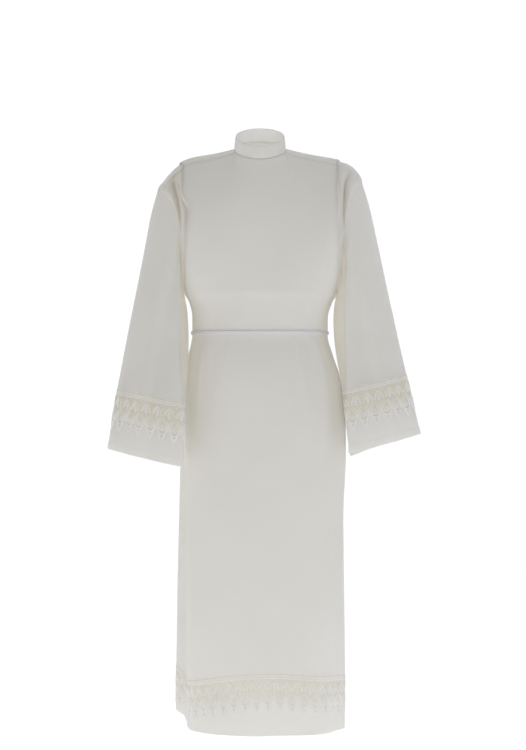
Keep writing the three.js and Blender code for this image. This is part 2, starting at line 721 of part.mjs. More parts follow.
// A whole panel bends round too much of the body for its collision to stay open, so each is
// made as two pieces that meet under the cord, and each sleeve as three, which meet at the
// elbow and at the top of the lace.
const robe = [
  ...["front", "back"].flatMap((panel) => [
    rowsOf(panels[panel], `${panel}_bodice`, WAIST_ROW, panels[panel].rows - 1),
    rowsOf(panels[panel], `${panel}_skirt`, 0, WAIST_ROW),
  ]),
  ...["left", "right"].flatMap((side) => [
    rowsOf(sleeves[side], `${side}_upper_sleeve`, 0, ELBOW_ROW),
    rowsOf(sleeves[side], `${side}_lower_sleeve`, ELBOW_ROW, CUFF_LACE_TOP),
    rowsOf(sleeves[side], `${side}_cuff`, CUFF_LACE_TOP, CUFF_ROW),
  ]),
  sewn.at(-1),
];
trimSeams(robe);
trimSeams(lace);

const alb = new THREE.Group();
alb.add(...robe.map((made) => piece(made, -CLOTH, 0, CLOTH_FINISH)));
alb.add(...lace.map((made) => piece(made, LACE_STANDOFF, LACE_STANDOFF + LACE, LACE_FINISH)));
alb.add(piece(cord, CORD.standoff, CORD.standoff + CORD.thick, CORD_FINISH));

export default alb;
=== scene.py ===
# %% [markdown]
# # A priest's alb, worn
# An alb is the long white robe that a priest wears under the other vestments. This one is cut
# from plain-woven polyester: a front and a back panel that are sewn at the sides and just in
# front of the shoulders, two wide sleeves set into the armholes, and a stand collar. Lace is
# sewn round the hem and the cuffs, and a braided cord holds the waist.
#
# Cloth is a thin sheet, so each panel is made as a grid of points: rows that run round the body,
# columns that run up it. A short table gives the form at a few heights, and the same grid
# gives the cloth its folds, its seams, the place of its lace, and the run of its threads.
# All sizes are in millimetres until a mesh is made. The front faces -Y, and +X is the
# wearer's left.

# %% Start with the frame
import math

import bpy
import numpy as np
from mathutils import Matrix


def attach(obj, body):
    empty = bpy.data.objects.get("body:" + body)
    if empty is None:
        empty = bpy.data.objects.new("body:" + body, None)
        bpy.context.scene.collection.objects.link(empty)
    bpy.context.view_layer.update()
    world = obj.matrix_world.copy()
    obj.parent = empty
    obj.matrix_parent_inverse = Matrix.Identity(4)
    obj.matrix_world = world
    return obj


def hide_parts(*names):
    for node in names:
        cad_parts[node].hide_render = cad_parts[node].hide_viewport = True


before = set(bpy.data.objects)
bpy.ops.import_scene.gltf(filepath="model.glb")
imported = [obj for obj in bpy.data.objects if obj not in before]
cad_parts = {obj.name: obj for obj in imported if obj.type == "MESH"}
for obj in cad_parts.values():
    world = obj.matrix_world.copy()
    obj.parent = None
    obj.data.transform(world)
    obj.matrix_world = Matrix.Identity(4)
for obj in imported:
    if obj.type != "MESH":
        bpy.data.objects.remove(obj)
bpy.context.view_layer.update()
MM = 0.001
print("frame nodes:", ", ".join(sorted(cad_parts)))

# %% [markdown]
# ## Curves that everything uses
# `smooth` goes softly from 0 to 1, `bump` is a soft hill, and `through` draws a line through a
# few measured places without ever swinging past them. Cloth that hangs has such lines: it
# bends slowly, and it doesn't ripple between two places where it is held.


# %% Curves
def smooth(value, start, end):
    share = np.clip((value - start) / (end - start), 0, 1)
    return share * share * (3 - 2 * share)


def bump(distance, wide):
    return np.exp(-((distance / wide) ** 2))


def through(places, values, wanted):
    """The smooth line through (places, values), read at the wanted places."""
    places, values = np.asarray(places, float), np.asarray(values, float)
    gap = np.diff(places)
    slope = np.diff(values) / gap
    before, after = slope[:-1], slope[1:]
    same_way = before * after > 0
    total = np.where(same_way, before + after, 1)
    tangent = np.r_[slope[0], np.where(same_way, 2 * before * after / total, 0), slope[-1]]
    at = np.clip(np.searchsorted(places, wanted) - 1, 0, len(gap) - 1)
    t = np.clip((wanted - places[at]) / gap[at], 0, 1)
    rise = values[at] + t * t * (3 - 2 * t) * (values[at + 1] - values[at])
    leave = t * (1 - t) ** 2 * tangent[at] - t * t * (1 - t) * tangent[at + 1]
    return rise + leave * gap[at]


def unit(vectors):
    return vectors / np.maximum(np.linalg.norm(vectors, axis=-1, keepdims=True), 1e-9)


print("a quarter of the way up a soft step:", round(float(smooth(0.25, 0, 1)), 3))

# %% [markdown]
# ## A sheet of cloth
# A `Cloth` is the grid of points with the way its threads run. Its normals say where outside
# is, so a fold is lifted along them, and what is sewn on the cloth is placed along them too.
# The run of the threads becomes the UV map in metres, so a weave drawn on it keeps its real
# size on every piece.


# %% The sheet
class Cloth:
    def __init__(self, points, closed=False, facing=1):
        self.points, self.closed, self.facing = points, closed, facing

    def normals(self):
        if self.closed:
            across = np.roll(self.points, -1, axis=1) - np.roll(self.points, 1, axis=1)
        else:
            across = np.gradient(self.points, axis=1)
        up = np.gradient(self.points, axis=0)
        return unit(np.cross(across, up)) * self.facing

    def lift(self, height, normals=None):
        """Moves every point out along its normal."""
        normals = self.normals() if normals is None else normals
        self.points = self.points + normals * np.asarray(height)[..., None]

    def threads(self):
        """How far each point lies along the weft and the warp, in metres."""
        points = self.points
        if self.closed:
            points = np.concatenate([points, points[:, :1]], axis=1)
        steps = np.linalg.norm(np.diff(points, axis=1), axis=2)
        weft = np.concatenate([np.zeros((len(points), 1)), np.cumsum(steps, axis=1)], axis=1)
        weft -= weft[:, weft.shape[1] // 2, None]
        steps = np.linalg.norm(np.diff(points, axis=0), axis=2).mean(axis=1)
        warp = np.broadcast_to(np.r_[0, np.cumsum(steps)][:, None], weft.shape)
        return np.stack([weft, warp], axis=-1) * MM

    def place(self, rows, columns, height):
        """Points that lie a height outside the cloth, at rows and columns between its own."""
        row = np.clip(np.floor(rows).astype(int), 0, self.points.shape[0] - 2)
        column = np.floor(columns).astype(int)
        up, over = (rows - row)[..., None], (columns - column)[..., None]
        count = self.points.shape[1]
        if self.closed:
            column, following = column % count, (column + 1) % count
        else:
            column = np.clip(column, 0, count - 2)
            following = column + 1
            over = np.clip((columns - column)[..., None], 0, 1)

        def mixed(values):
            low = values[row, column] * (1 - over) + values[row, following] * over
            high = values[row + 1, column] * (1 - over) + values[row + 1, following] * over
            return low * (1 - up) + high * up

        if not hasattr(self, "kept_normals"):
            self.kept_normals = self.normals()
        lifted = unit(mixed(self.kept_normals)) * np.asarray(height)[..., None]
        return mixed(self.points) + lifted


def squares(rows, columns, closed):
    """The corners of each square of a grid, once as points and once as places on its UV."""
    across = columns if closed else columns - 1
    row, column = np.meshgrid(np.arange(rows - 1), np.arange(across), indexing="ij")
    around = [(row, column), (row, column + 1), (row + 1, column + 1), (row + 1, column)]
    wide = columns + 1 if closed else columns
    points = np.stack([r * columns + c % columns for r, c in around], axis=-1)
    places = np.stack([r * wide + c for r, c in around], axis=-1)
    return points.reshape(-1, 4), places.reshape(-1, 4)


print("squares in a grid of 3 by 4 points:", len(squares(3, 4, False)[0]))

# %% [markdown]
# ## From grid to mesh
# Each finished piece is one mesh with its place in its vertices. Loose cloth gets its wall from
# a Solidify modifier on the inner side, so the outer face stays where the form puts it.


# %% Meshes
def add_mesh(name, points, faces, face_uv=None, material=None):
    """An object from points in millimetres and faces of equal size, smooth shaded."""
    mesh = bpy.data.meshes.new(name)
    mesh.from_pydata((np.reshape(points, (-1, 3)) * MM).tolist(), [], faces.tolist())
    mesh.polygons.foreach_set("use_smooth", np.ones(len(faces), bool))
    if face_uv is not None:
        layer = mesh.uv_layers.new(name="threads")
        layer.data.foreach_set("uv", np.asarray(face_uv, float).ravel())
    if material is not None:
        mesh.materials.append(material)
    mesh.validate()
    made = bpy.data.objects.new(name, mesh)
    bpy.context.collection.objects.link(made)
    return made


def select_only(made):
    bpy.ops.object.select_all(action="DESELECT")
    made.select_set(True)
    bpy.context.view_layer.objects.active = made


def add_cloth(name, cloth, material, wall=0, keep=None):
    """A mesh from a Cloth, with a wall of that many millimetres on its inner side.

    A Cloth may carry painted light for each point, from -1 for painted shade to 1 for a painted
    glow.
    """
    rows, columns = cloth.points.shape[:2]
    faces, places = squares(rows, columns, cloth.closed)
    if keep is not None:
        kept = keep.ravel()[faces].all(axis=1)
        faces, places = faces[kept], places[kept]
    if cloth.facing < 0:
        faces, places = faces[:, ::-1], places[:, ::-1]
    used, faces = np.unique(faces, return_inverse=True)
    uv = cloth.threads().reshape(-1, 2)[places]
    points = cloth.points.reshape(-1, 3)[used]
    made = add_mesh(name, points, faces.reshape(-1, 4), uv, material)
    if hasattr(cloth, "single"):
        single = made.data.attributes.new("single", "FLOAT", "POINT")
        single.data.foreach_set("value", cloth.single.ravel()[used])
    if wall:
        select_only(made)
        solidify = made.modifiers.new("wall", "SOLIDIFY")
        solidify.thickness, solidify.offset = wall * MM, -1
        bpy.ops.object.modifier_apply(modifier=solidify.name)
    return made


def cloth_area(cloth):
    """The area of a Cloth's squares, in square metres."""
    across = np.diff(cloth.points, axis=1)[:-1]
    up = np.diff(cloth.points, axis=0)[:, :-1]
    return float(np.linalg.norm(np.cross(across, up), axis=-1).sum()) * MM * MM


# %% [markdown]
# ## The finishes
# ** Plain-woven polyester.** Warp and weft cross one over one, which gives the eye a matt, even
# face with a very fine grain. The cloth is thin and white, so light from behind comes through
# it and turns warm on the way. Light and shade are also painted into it. In the folds beside
# the arms a painted glow lets more light through and makes it look creamy; in seams, creases
# and under the pleats painted shade lets less light through and makes it brownish. An
# attribute, from -1 for painted shade to 1 for painted glow, says where. A Principled shader
# makes the face and a Translucent one the light that comes through.

# %% Colours and nodes
def linear(hex_colour):
    """A linear RGBA colour from an sRGB hex value."""
    parts = [int(hex_colour[i : i + 2], 16) / 255 for i in (1, 3, 5)]
    return [p / 12.92 if p <= 0.04045 else ((p + 0.055) / 1.055) ** 2.4 for p in parts] + [1]


def new_material(name):
    made = bpy.data.materials.new(name)
    made.use_nodes = True
    made.node_tree.nodes.clear()
    return made


def add(material, kind, values=None, links=None, **settings):
    """Adds a node: its own settings, its sockets' constants, and the outputs linked to them."""
    made = material.node_tree.nodes.new(kind)
    for name, value in settings.items():
        setattr(made, name, value)
    for socket, value in (values or {}).items():
        made.inputs[socket].default_value = value
    for socket, output in (links or {}).items():
        material.node_tree.links.new(output, made.inputs[socket])
    return made


# %% Plain-woven polyester, matt off-white
# The real threads lie 0.4 mm apart. They are drawn 1.2 mm apart, because finer ones would
# flicker instead of showing.
WEAVE = 1.2
CLOTH_WHITE, CLOTH_SHADE = "#F3F3F4", "#EEEEED"
# The two colours after the light that comes through are painted light: cream for a painted glow,
# brown for painted shade. The two shares below say how much light comes through in painted shade
# and in a painted glow.
CLOTH_THROUGH, PAINTED_GLOW_CREAM, PAINTED_SHADE_BROWN = "#FCFAF4", "#FFFDF8", "#E4D8C6"
SHARE_IN_PAINTED_SHADE, SHARE_IN_PAINTED_GLOW = 0.30, 0.86  # of the light that comes through, 0.58 in between


def polyester(name, white=CLOTH_WHITE, shade=CLOTH_SHADE):
    cloth = new_material(name)
    threads = add(cloth, "ShaderNodeUVMap", uv_map="threads").outputs["UV"]
    parts = add(cloth, "ShaderNodeSeparateXYZ", links={0: threads}).outputs
    waves = []
    for part in ("X", "Y"):
        angle = add(cloth, "ShaderNodeMath", {1: math.pi / (WEAVE * MM)}, {0: parts[part]},
                    operation="MULTIPLY").outputs[0]
        waves.append(add(cloth, "ShaderNodeMath", links={0: angle}, operation="SINE").outputs[0])
    weave = add(cloth, "ShaderNodeMath", links={0: waves[0], 1: waves[1]},
                operation="MULTIPLY").outputs[0]
    # Slubs: threads that are a little thicker for a few centimetres, along the weft.
    stretched = add(cloth, "ShaderNodeMapping", {"Scale": (30, 900, 1)},
                    {"Vector": threads}).outputs[0]
    slubs = add(cloth, "ShaderNodeTexNoise", {"Scale": 1.0, "Detail": 2.0},
                {"Vector": stretched}).outputs["Fac"]
    height = add(cloth, "ShaderNodeMath", {1: 0.8}, {0: slubs, 2: weave},
                 operation="MULTIPLY_ADD").outputs[0]
    bumped = add(cloth, "ShaderNodeBump", {"Strength": 0.22, "Distance": 0.25 * MM},
                 {"Height": height}).outputs["Normal"]
    # A washed cloth is never quite even: soft patches a few centimetres wide.
    patches = add(cloth, "ShaderNodeTexNoise", {"Scale": 7.0, "Detail": 1.0},
                  {"Vector": threads}).outputs["Fac"]
    uneven = add(cloth, "ShaderNodeMath", {1: 0.35}, {0: slubs, 2: patches},
                 operation="MULTIPLY_ADD").outputs[0]
    share = add(cloth, "ShaderNodeMapRange", {"From Min": 0.45, "From Max": 0.95},
                {"Value": uneven}).outputs[0]
    colour = add(cloth, "ShaderNodeMix", {6: linear(white), 7: linear(shade)}, {0: share},
                 data_type="RGBA").outputs[2]
    # painted light: brown painted shade mixed into the face, and more or less light through, from
    # the attribute that runs from -1 to 1
    single = add(cloth, "ShaderNodeAttribute", attribute_name="single").outputs["Fac"]
    painted_shade = add(cloth, "ShaderNodeMapRange", {"From Max": -1.0}, {"Value": single}).outputs[0]
    colour = add(cloth, "ShaderNodeMix", {7: linear(PAINTED_SHADE_BROWN)}, {0: painted_shade, 6: colour},
                 data_type="RGBA").outputs[2]
    face = add(cloth, "ShaderNodeBsdfPrincipled",
               {"Roughness": 0.82, "IOR": 1.5, "Specular IOR Level": 0.35,
                "Sheen Weight": 0.12, "Sheen Roughness": 0.5},
               {"Base Color": colour, "Normal": bumped}).outputs[0]
    warm = add(cloth, "ShaderNodeMix", {6: linear(CLOTH_THROUGH), 7: linear(PAINTED_GLOW_CREAM)},
               {0: single}, data_type="RGBA").outputs[2]
    behind = add(cloth, "ShaderNodeBsdfTranslucent",
                 links={"Color": warm, "Normal": bumped}).outputs[0]
    through = add(cloth, "ShaderNodeMapRange",
                  {"From Min": -1.0, "To Min": SHARE_IN_PAINTED_SHADE, "To Max": SHARE_IN_PAINTED_GLOW},
                  {"Value": single}).outputs[0]
    both = add(cloth, "ShaderNodeMixShader", links={0: through, 1: face, 2: behind}).outputs[0]
    add(cloth, "ShaderNodeOutputMaterial", links={"Surface": both})
    return cloth


ROBE_CLOTH = polyester("plain_woven_polyester_offwhite")
print("weave drawn every", WEAVE, "mm")

# %% [markdown]
# ** Embroidered lace.** The lace is rayon thread, stitched side by side over a core into raised
# cords, on a fine net. Rayon shines a little more than the cloth, and the stitches lie across
# the cord, which gives it a fine twist. The cords are worked in ivory and in straw yellow. A
# tan on some of them is painted shade, where the holes of the lace look deep and in the gap
# under each drop. An attribute on each cord gives the colour, from 0 for ivory through straw
# to 1 for that painted shade.

# %% Rayon embroidery thread, satin-stitched
STITCH = 0.9  # the real stitches lie 0.3 mm apart; drawn coarser so that they show
# ivory and straw are the thread's own colours; the tan is painted shade
IVORY, STRAW, PAINTED_SHADE_TAN = "#FFFEFC", "#F2EBD4", "#DDD4BC"


def embroidery(name):
    thread_and_shade = new_material(name)
    along = add(thread_and_shade, "ShaderNodeUVMap", uv_map="threads").outputs["UV"]
    parts = add(thread_and_shade, "ShaderNodeSeparateXYZ", links={0: along}).outputs
    slant = add(thread_and_shade, "ShaderNodeMath", {1: 0.6}, {0: parts["Y"], 2: parts["X"]},
                operation="MULTIPLY_ADD").outputs[0]
    angle = add(thread_and_shade, "ShaderNodeMath", {1: 2 * math.pi / (STITCH * MM)}, {0: slant},
                operation="MULTIPLY").outputs[0]
    stitches = add(thread_and_shade, "ShaderNodeMath", links={0: angle}, operation="SINE").outputs[0]
    bumped = add(thread_and_shade, "ShaderNodeBump", {"Strength": 0.5, "Distance": 0.2 * MM},
                 {"Height": stitches}).outputs["Normal"]
    # the tone attribute runs over a ramp from ivory through straw to the tan of painted shade
    which = add(thread_and_shade, "ShaderNodeAttribute", attribute_name="thread_and_shade").outputs["Fac"]
    thread_and_shade_ramp = add(thread_and_shade, "ShaderNodeValToRGB", links={"Fac": which})
    thread_and_shade_ramp.color_ramp.elements.new(0.5)
    for ramp_stop, shade in zip(thread_and_shade_ramp.color_ramp.elements, (IVORY, STRAW, PAINTED_SHADE_TAN)):
        ramp_stop.color = linear(shade)
    colour = thread_and_shade_ramp.outputs["Color"]
    fuzz = add(thread_and_shade, "ShaderNodeTexNoise", {"Scale": 700.0, "Detail": 2.0},
               {"Vector": add(thread_and_shade, "ShaderNodeTexCoord").outputs["Object"]}).outputs["Fac"]
    gloss = add(thread_and_shade, "ShaderNodeMapRange", {"To Min": 0.42, "To Max": 0.62},
                {"Value": fuzz}).outputs[0]
    face = add(thread_and_shade, "ShaderNodeBsdfPrincipled",
               {"IOR": 1.53, "Sheen Weight": 0.1},
               {"Base Color": colour, "Normal": bumped, "Roughness": gloss}).outputs[0]
    add(thread_and_shade, "ShaderNodeOutputMaterial", links={"Surface": face})
    return thread_and_shade


LACE_THREAD = embroidery("rayon_embroidery_thread")

# %% Cotton tulle, the net under the embroidery
# Real tulle has six-sided holes 1.5 mm wide. They are drawn 2.4 mm wide. The thread between
# them is pale yellow against the white cloth, and the holes are clear.
HOLE = 2.4
TULLE = "#F6F1DE"


def tulle(name):
    net = new_material(name)
    threads = add(net, "ShaderNodeUVMap", uv_map="threads").outputs["UV"]
    cells = add(net, "ShaderNodeTexVoronoi", {"Scale": 1 / (HOLE * MM), "Randomness": 0.25},
                {"Vector": threads}, voronoi_dimensions="2D", feature="DISTANCE_TO_EDGE")
    clear = add(net, "ShaderNodeMapRange", {"From Min": 0.07, "From Max": 0.13},
                {"Value": cells.outputs["Distance"]}).outputs[0]
    face = add(net, "ShaderNodeBsdfPrincipled",
               {"Base Color": linear(TULLE), "Roughness": 0.75, "IOR": 1.5,
                "Specular IOR Level": 0.3}).outputs[0]
    hole = add(net, "ShaderNodeBsdfTransparent").outputs[0]
    both = add(net, "ShaderNodeMixShader", links={0: clear, 1: face, 2: hole}).outputs[0]
    add(net, "ShaderNodeOutputMaterial", links={"Surface": both})
    return net


LACE_NET = tulle("cotton_tulle")

# %% Braided polyester cord, soft and a little brighter than the robe
# the second colour is painted shade for the grooves between the braid's lobes
CORD_WHITE, CORD_GROOVE_SHADE = "#E6E4EA", "#C4C1C9"


def braid(name):
    cord = new_material(name)
    threads = add(cord, "ShaderNodeUVMap", uv_map="threads").outputs["UV"]
    strands = add(cord, "ShaderNodeMapping", {"Scale": (350, 2600, 1)},
                  {"Vector": threads}).outputs[0]
    fibres = add(cord, "ShaderNodeTexNoise", {"Scale": 1.0, "Detail": 2.0},
                 {"Vector": strands}).outputs["Fac"]
    bumped = add(cord, "ShaderNodeBump", {"Strength": 0.35, "Distance": 0.2 * MM},
                 {"Height": fibres}).outputs["Normal"]
    # painted shade: darker in the grooves between the lobes
    deep = add(cord, "ShaderNodeAttribute", attribute_name="deep").outputs["Fac"]
    colour = add(cord, "ShaderNodeMix", {6: linear(CORD_WHITE), 7: linear(CORD_GROOVE_SHADE)},
                 {0: deep}, data_type="RGBA").outputs[2]
    face = add(cord, "ShaderNodeBsdfPrincipled",
               {"Roughness": 0.6, "IOR": 1.5, "Sheen Weight": 0.15},
               {"Base Color": colour, "Normal": bumped}).outputs[0]
    add(cord, "ShaderNodeOutputMaterial", links={"Surface": face})
    return cord


CORD_BRAID = braid("braided_polyester_cord")
print("materials:", len(bpy.data.materials))

# %% [markdown]
# ## The camera and the room
# The robe is seen from straight ahead, from a little above its middle. Cloth this pale only
# shows its form in soft light, so the room is white all round, with one wide lamp low in
# front, a weak one from each side, and one above that picks out the shoulders.

# %% Camera
EYE = (7.35 * MM, -4.5, -0.551)
camera = bpy.data.objects.new("camera", bpy.data.cameras.new("camera"))
camera.location = EYE
camera.rotation_euler = (math.radians(90), 0, 0)
camera.data.lens = 88.2
bpy.context.collection.objects.link(camera)
bpy.context.scene.camera = camera

# %% Room and lamps
FLOOR = -1.56


def add_lamp(name, place, aim, size, power, colour="#FFFFFF"):
    lamp = bpy.data.objects.new(name, bpy.data.lights.new(name, "AREA"))
    lamp.data.shape, lamp.data.size, lamp.data.size_y = "RECTANGLE", size[0], size[1]
    lamp.data.energy, lamp.data.color = power, linear(colour)[:3]
    away = np.subtract(place, aim)
    lamp.location = place
    lamp.rotation_euler = (
        math.atan2(math.hypot(away[0], away[1]), away[2]), 0, math.atan2(away[0], -away[1]),
    )
    bpy.context.collection.objects.link(lamp)
    return lamp


add_lamp("wide_lamp_front", (-0.2, -3.0, -1.25), (0, 0, -1.15), (2.4, 1.0), 12)
add_lamp("lamp_right_of_wearer", (-3.2, -1.2, 0.2), (0, 0, -0.5), (1.6, 2.2), 7)
add_lamp("lamp_left_of_wearer", (3.2, -1.2, 0.4), (0, 0, -0.4), (1.6, 2.2), 13, "#DEE6FF")
add_lamp("lamp_above", (0.5, 0.5, 1.9), (0, 0, -0.1), (2.4, 1.4), 11, "#EEF2FF")

# The wall behind is bright and the room in front is dimmer, so the front of the robe is a
# soft grey and light comes through it from behind. The wall is white wherever it is seen from.
BEHIND, IN_FRONT = 1.2, 0.335
world = bpy.data.worlds.new("white_room")
world.use_nodes = True
bpy.context.scene.world = world
direction = add(world, "ShaderNodeTexCoord").outputs["Generated"]
depth = add(world, "ShaderNodeSeparateXYZ", links={0: direction}).outputs["Y"]
wall_light = add(world, "ShaderNodeMapRange",
                 {"From Min": -0.1, "From Max": 0.8, "To Min": IN_FRONT, "To Max": BEHIND},
                 {"Value": depth}).outputs[0]
seen = add(world, "ShaderNodeLightPath").outputs["Is Camera Ray"]
strength = add(world, "ShaderNodeMix", {3: 1.1}, {0: seen, 2: wall_light}).outputs[0]
world.node_tree.links.new(strength, world.node_tree.nodes["Background"].inputs["Strength"])
world.node_tree.nodes["Background"].inputs["Color"].default_value = linear("#F8FAFF")
bpy.context.scene.view_settings.view_transform = "Standard"

paper = new_material("white_paper_floor")
paper_grain = add(paper, "ShaderNodeTexNoise", {"Scale": 220.0},
                  {"Vector": add(paper, "ShaderNodeTexCoord").outputs["Object"]}).outputs["Fac"]
paper_bump = add(paper, "ShaderNodeBump", {"Strength": 0.05}, {"Height": paper_grain})
paper_face = add(paper, "ShaderNodeBsdfPrincipled",
                 {"Base Color": linear("#F7F7F7"), "Roughness": 0.9,
                  "Emission Color": linear("#FFFFFF"), "Emission Strength": 0.5},
                 {"Normal": paper_bump.outputs["Normal"]})
add(paper, "ShaderNodeOutputMaterial", links={"Surface": paper_face.outputs[0]})

bpy.ops.object.select_all(action="DESELECT")
bpy.ops.mesh.primitive_circle_add(vertices=96, radius=7, fill_type="NGON",
                                  location=(0, 0, FLOOR))
floor = bpy.context.object
floor.name = "floor"
bpy.ops.object.transform_apply(location=True)
floor.data.materials.append(paper)

# %% [markdown]
# ## The form of the body
# Below the arms each row of the cloth is a level ring, a squared oval. The table gives its half
# widths, its depth to the front and to the back, and where the side seam lies. `tuck` is how
# far the wearer's right side of the front is drawn in behind a fold of the back.
#
# Across a panel, places are counted in half repeats of the lace, from the centre line to the
# side seam: 21 each way. So the lace comes out even round the hem.

# %% The rings of the body
WAIST, HEM, ARMPIT = -448, -1408, -345
RINGS = np.array([
    # height, left, right, tuck, front, back, seam, square
    (HEM, 203, 211, 31, 157, 152, 16, 2.6),
    (-1335, 203, 210, 30, 157, 151, 16, 2.6),
    (-1245, 203.5, 209, 28, 156, 149, 15, 2.6),
    (-1080, 202, 207, 25, 154, 146, 15, 2.6),
    (-900, 200.5, 203, 21, 151, 142, 14, 2.6),
    (-750, 207, 199, 17, 146, 137, 12, 2.5),
    (-640, 206, 196, 12, 140, 132, 10, 2.5),
    (-560, 197, 191, 6, 131, 125, 8, 2.4),
    (-500, 178, 177, 2, 117, 112, 5, 2.4),
    (WAIST - 6, 166, 166, 0, 105, 101, 3, 2.4),
    (WAIST + 6, 166, 166, 0, 105, 101, 3, 2.4),
    (-408, 166, 166, 0, 108, 106, 2, 2.4),
    (-374, 174, 173, 0, 112, 112, 1, 2.4),
    (ARMPIT, 188, 187, 0, 116, 117, 0, 2.4),
])
TUCK_SPREAD = 2.2
# Beside the tuck the back's hem is drawn up: where, how wide and how high, how far from the
# side seam it starts, and the height where it has died away.
DRAWN_UP = {"across": -17, "wide": 4.5, "high": 27, "from_seam": 1.2, "gone": -1080}
ABOVE = 30
TURN_AT_HEM = 6  # the skirt hangs a little turned towards the wearer's left
SIDE, NECK = 21, 6  # half repeats from the centre to the side seam, and to the neck's edge


def quarter_oval(width, depth, square, shares):
    """Places along a quarter of a squared oval, by the length of cloth."""
    turn = (1 - np.cos(np.linspace(0, np.pi, 600))) * np.pi / 4
    out = np.sin(turn) ** (2 / square)
    into = np.maximum(0, np.cos(turn)) ** (2 / square)
    run = np.hypot(np.diff(out) * width, np.diff(into) * depth)
    length = np.r_[0, np.cumsum(run)]
    wanted = shares * length[-1]
    return np.interp(wanted, length, out), np.interp(wanted, length, into)


def drawn_up(across, z):
    """How far the back's hem is drawn up."""
    beside = smooth(SIDE - np.abs(across), 0, DRAWN_UP["from_seam"])
    low = 1 - smooth(z, HEM, DRAWN_UP["gone"])
    return DRAWN_UP["high"] * bump(across - DRAWN_UP["across"], DRAWN_UP["wide"]) * beside * low


def ring_rows(panel, heights, across):
    """The points of a panel below the arms, a row for each height."""
    side = -1 if panel == "front" else 1
    # one more ring of the same size above the armpits, so that the form goes on upright there
    table = np.vstack([RINGS, RINGS[-1]])
    table[-1, 0] += ABOVE
    rows = []
    for z in heights:
        left, right, tuck, front, back, seam, square = (
            through(table[:, 0], table[:, i], z) for i in range(1, 8)
        )
        depth = front if panel == "front" else back
        tucked = 1 if panel == "front" else bump(SIDE - np.abs(across), TUCK_SPREAD)
        width = np.where(across < 0, right - tuck * tucked, left)
        out, into = np.empty_like(across), np.empty_like(across)
        for half, nominal in ((across < 0, right - tuck * (panel == "front")), (across >= 0, left)):
            shares = np.abs(across[half]) / SIDE
            out[half], into[half] = quarter_oval(nominal, depth, square, shares)
        turn = TURN_AT_HEM * smooth(-z, -(WAIST - 6), -HEM)
        x = np.sign(across) * width * out - side * turn * into
        level = z + (drawn_up(across, z) if panel == "back" else np.zeros_like(x))
        rows.append(np.stack([x, seam + side * depth * into, level], axis=-1))
    return np.array(rows)


print("girth at the hem: about", round(2 * math.pi * math.sqrt((205**2 + 155**2) / 2)), "mm")

# %% [markdown]
# ## Neck, shoulders and armholes
# Above the armpits the panels grow into the neckline, the shoulder seams and the armholes. An
# armhole is a loop of 20 steps from the armpit by the front to the top and round. The
# sleeve starts on the same loop, so the two meet point by point, as they do when sewn.

# %% The lines where panels meet
# rise_power below 1 makes the neckline rise early on its way from the front to the back
NECKLINE = {"width": 63, "depth": 65, "centre": 5, "front": -28, "back": 28, "rise_power": 0.9}
SEAM_ANGLE, RIDGE_ANGLE = 75, 90
STEPS, FRONT_ROWS, RIDGE_ROWS = 20, 9, 10
CHEST = {"left": RINGS[-1, 1], "right": RINGS[-1, 2], "front": RINGS[-1, 4], "back": RINGS[-1, 5]}
CHEST_SQUARE = RINGS[-1, 7]
ARMHOLE = {"depth": 72, "flare_power": 6}
SHOULDERS = {
    "left": {"sign": 1, "reach": 250, "tip": -80, "slope": 0.25, "fall": 37, "sudden": 8,
             "swell": 20},
    "right": {"sign": -1, "reach": 250, "tip": -97, "slope": 0.25, "fall": 54, "sudden": 2.6,
              "swell": 5},
}
FALL_START = 150  # the shoulders start to fall away here, from the centre line
SEAM_FORWARD, SEAM_BELOW = 7, 8  # how far it sags between its ends
SHOULDER_SPREAD = 1.13
CENTRE_SWELL, TOP_PULL = 2.8, 3.2
ROUND_OFF, CORNER_REACH = 4, 9


def lerp(a, b, share):
    return a + (b - a) * share


def neck_points(angles):
    a = np.radians(angles)
    risen = ((1 - np.cos(a)) / 2) ** NECKLINE["rise_power"]
    height = lerp(NECKLINE["front"], NECKLINE["back"], risen)
    x = NECKLINE["width"] * np.sin(a)
    return np.stack([x, NECKLINE["centre"] - NECKLINE["depth"] * np.cos(a), height], axis=-1)


def armhole_points(side, angles):
    shoulder = SHOULDERS[side]
    a = np.radians(angles)
    up = (1 - np.cos(a)) / 2
    flare = shoulder["reach"] - CHEST[side] - shoulder["swell"]
    swell = shoulder["swell"] * np.abs(np.sin(a / 2))
    x = CHEST[side] + swell + flare * up ** ARMHOLE["flare_power"]
    return np.stack(
        [shoulder["sign"] * x, -ARMHOLE["depth"] * np.sin(a), lerp(ARMPIT, shoulder["tip"], up)],
        axis=-1,
    )


def pinned(line, shares, start, end):
    """A line moved so that it starts and ends exactly where its neighbours do."""
    first, last = line(np.array([0.0]))[0], line(np.array([1.0]))[0]
    shares = shares[..., None]
    return line(shares[..., 0]) + (start - first) * (1 - shares) + (end - last) * shares


def ridge_points(side, shares):
    """The top of a shoulder, from the neck to the tip."""
    s = SHOULDERS[side]
    neck = neck_points(s["sign"] * RIDGE_ANGLE)

    def line(t):
        x = lerp(NECKLINE["width"], s["reach"], t**SHOULDER_SPREAD)
        past = np.maximum(0, (x - FALL_START) / (s["reach"] - FALL_START))
        z = neck[2] - s["slope"] * (x - NECKLINE["width"]) - s["fall"] * past ** s["sudden"]
        return np.stack([s["sign"] * x, lerp(NECKLINE["centre"], 0, t), z], axis=-1)

    return pinned(line, shares, neck, armhole_points(side, 180))


def seam_points(side, shares):
    """The shoulder seam, which lies just in front of that top."""
    start = neck_points(SHOULDERS[side]["sign"] * SEAM_ANGLE)
    end = armhole_points(side, FRONT_ROWS * 360 / STEPS)
    between = np.sin(np.pi * shares) ** 0.6
    lower = between[..., None] * np.array([0, -SEAM_FORWARD, -SEAM_BELOW])
    return pinned(lambda t: ridge_points(side, t), shares, start, end) + lower


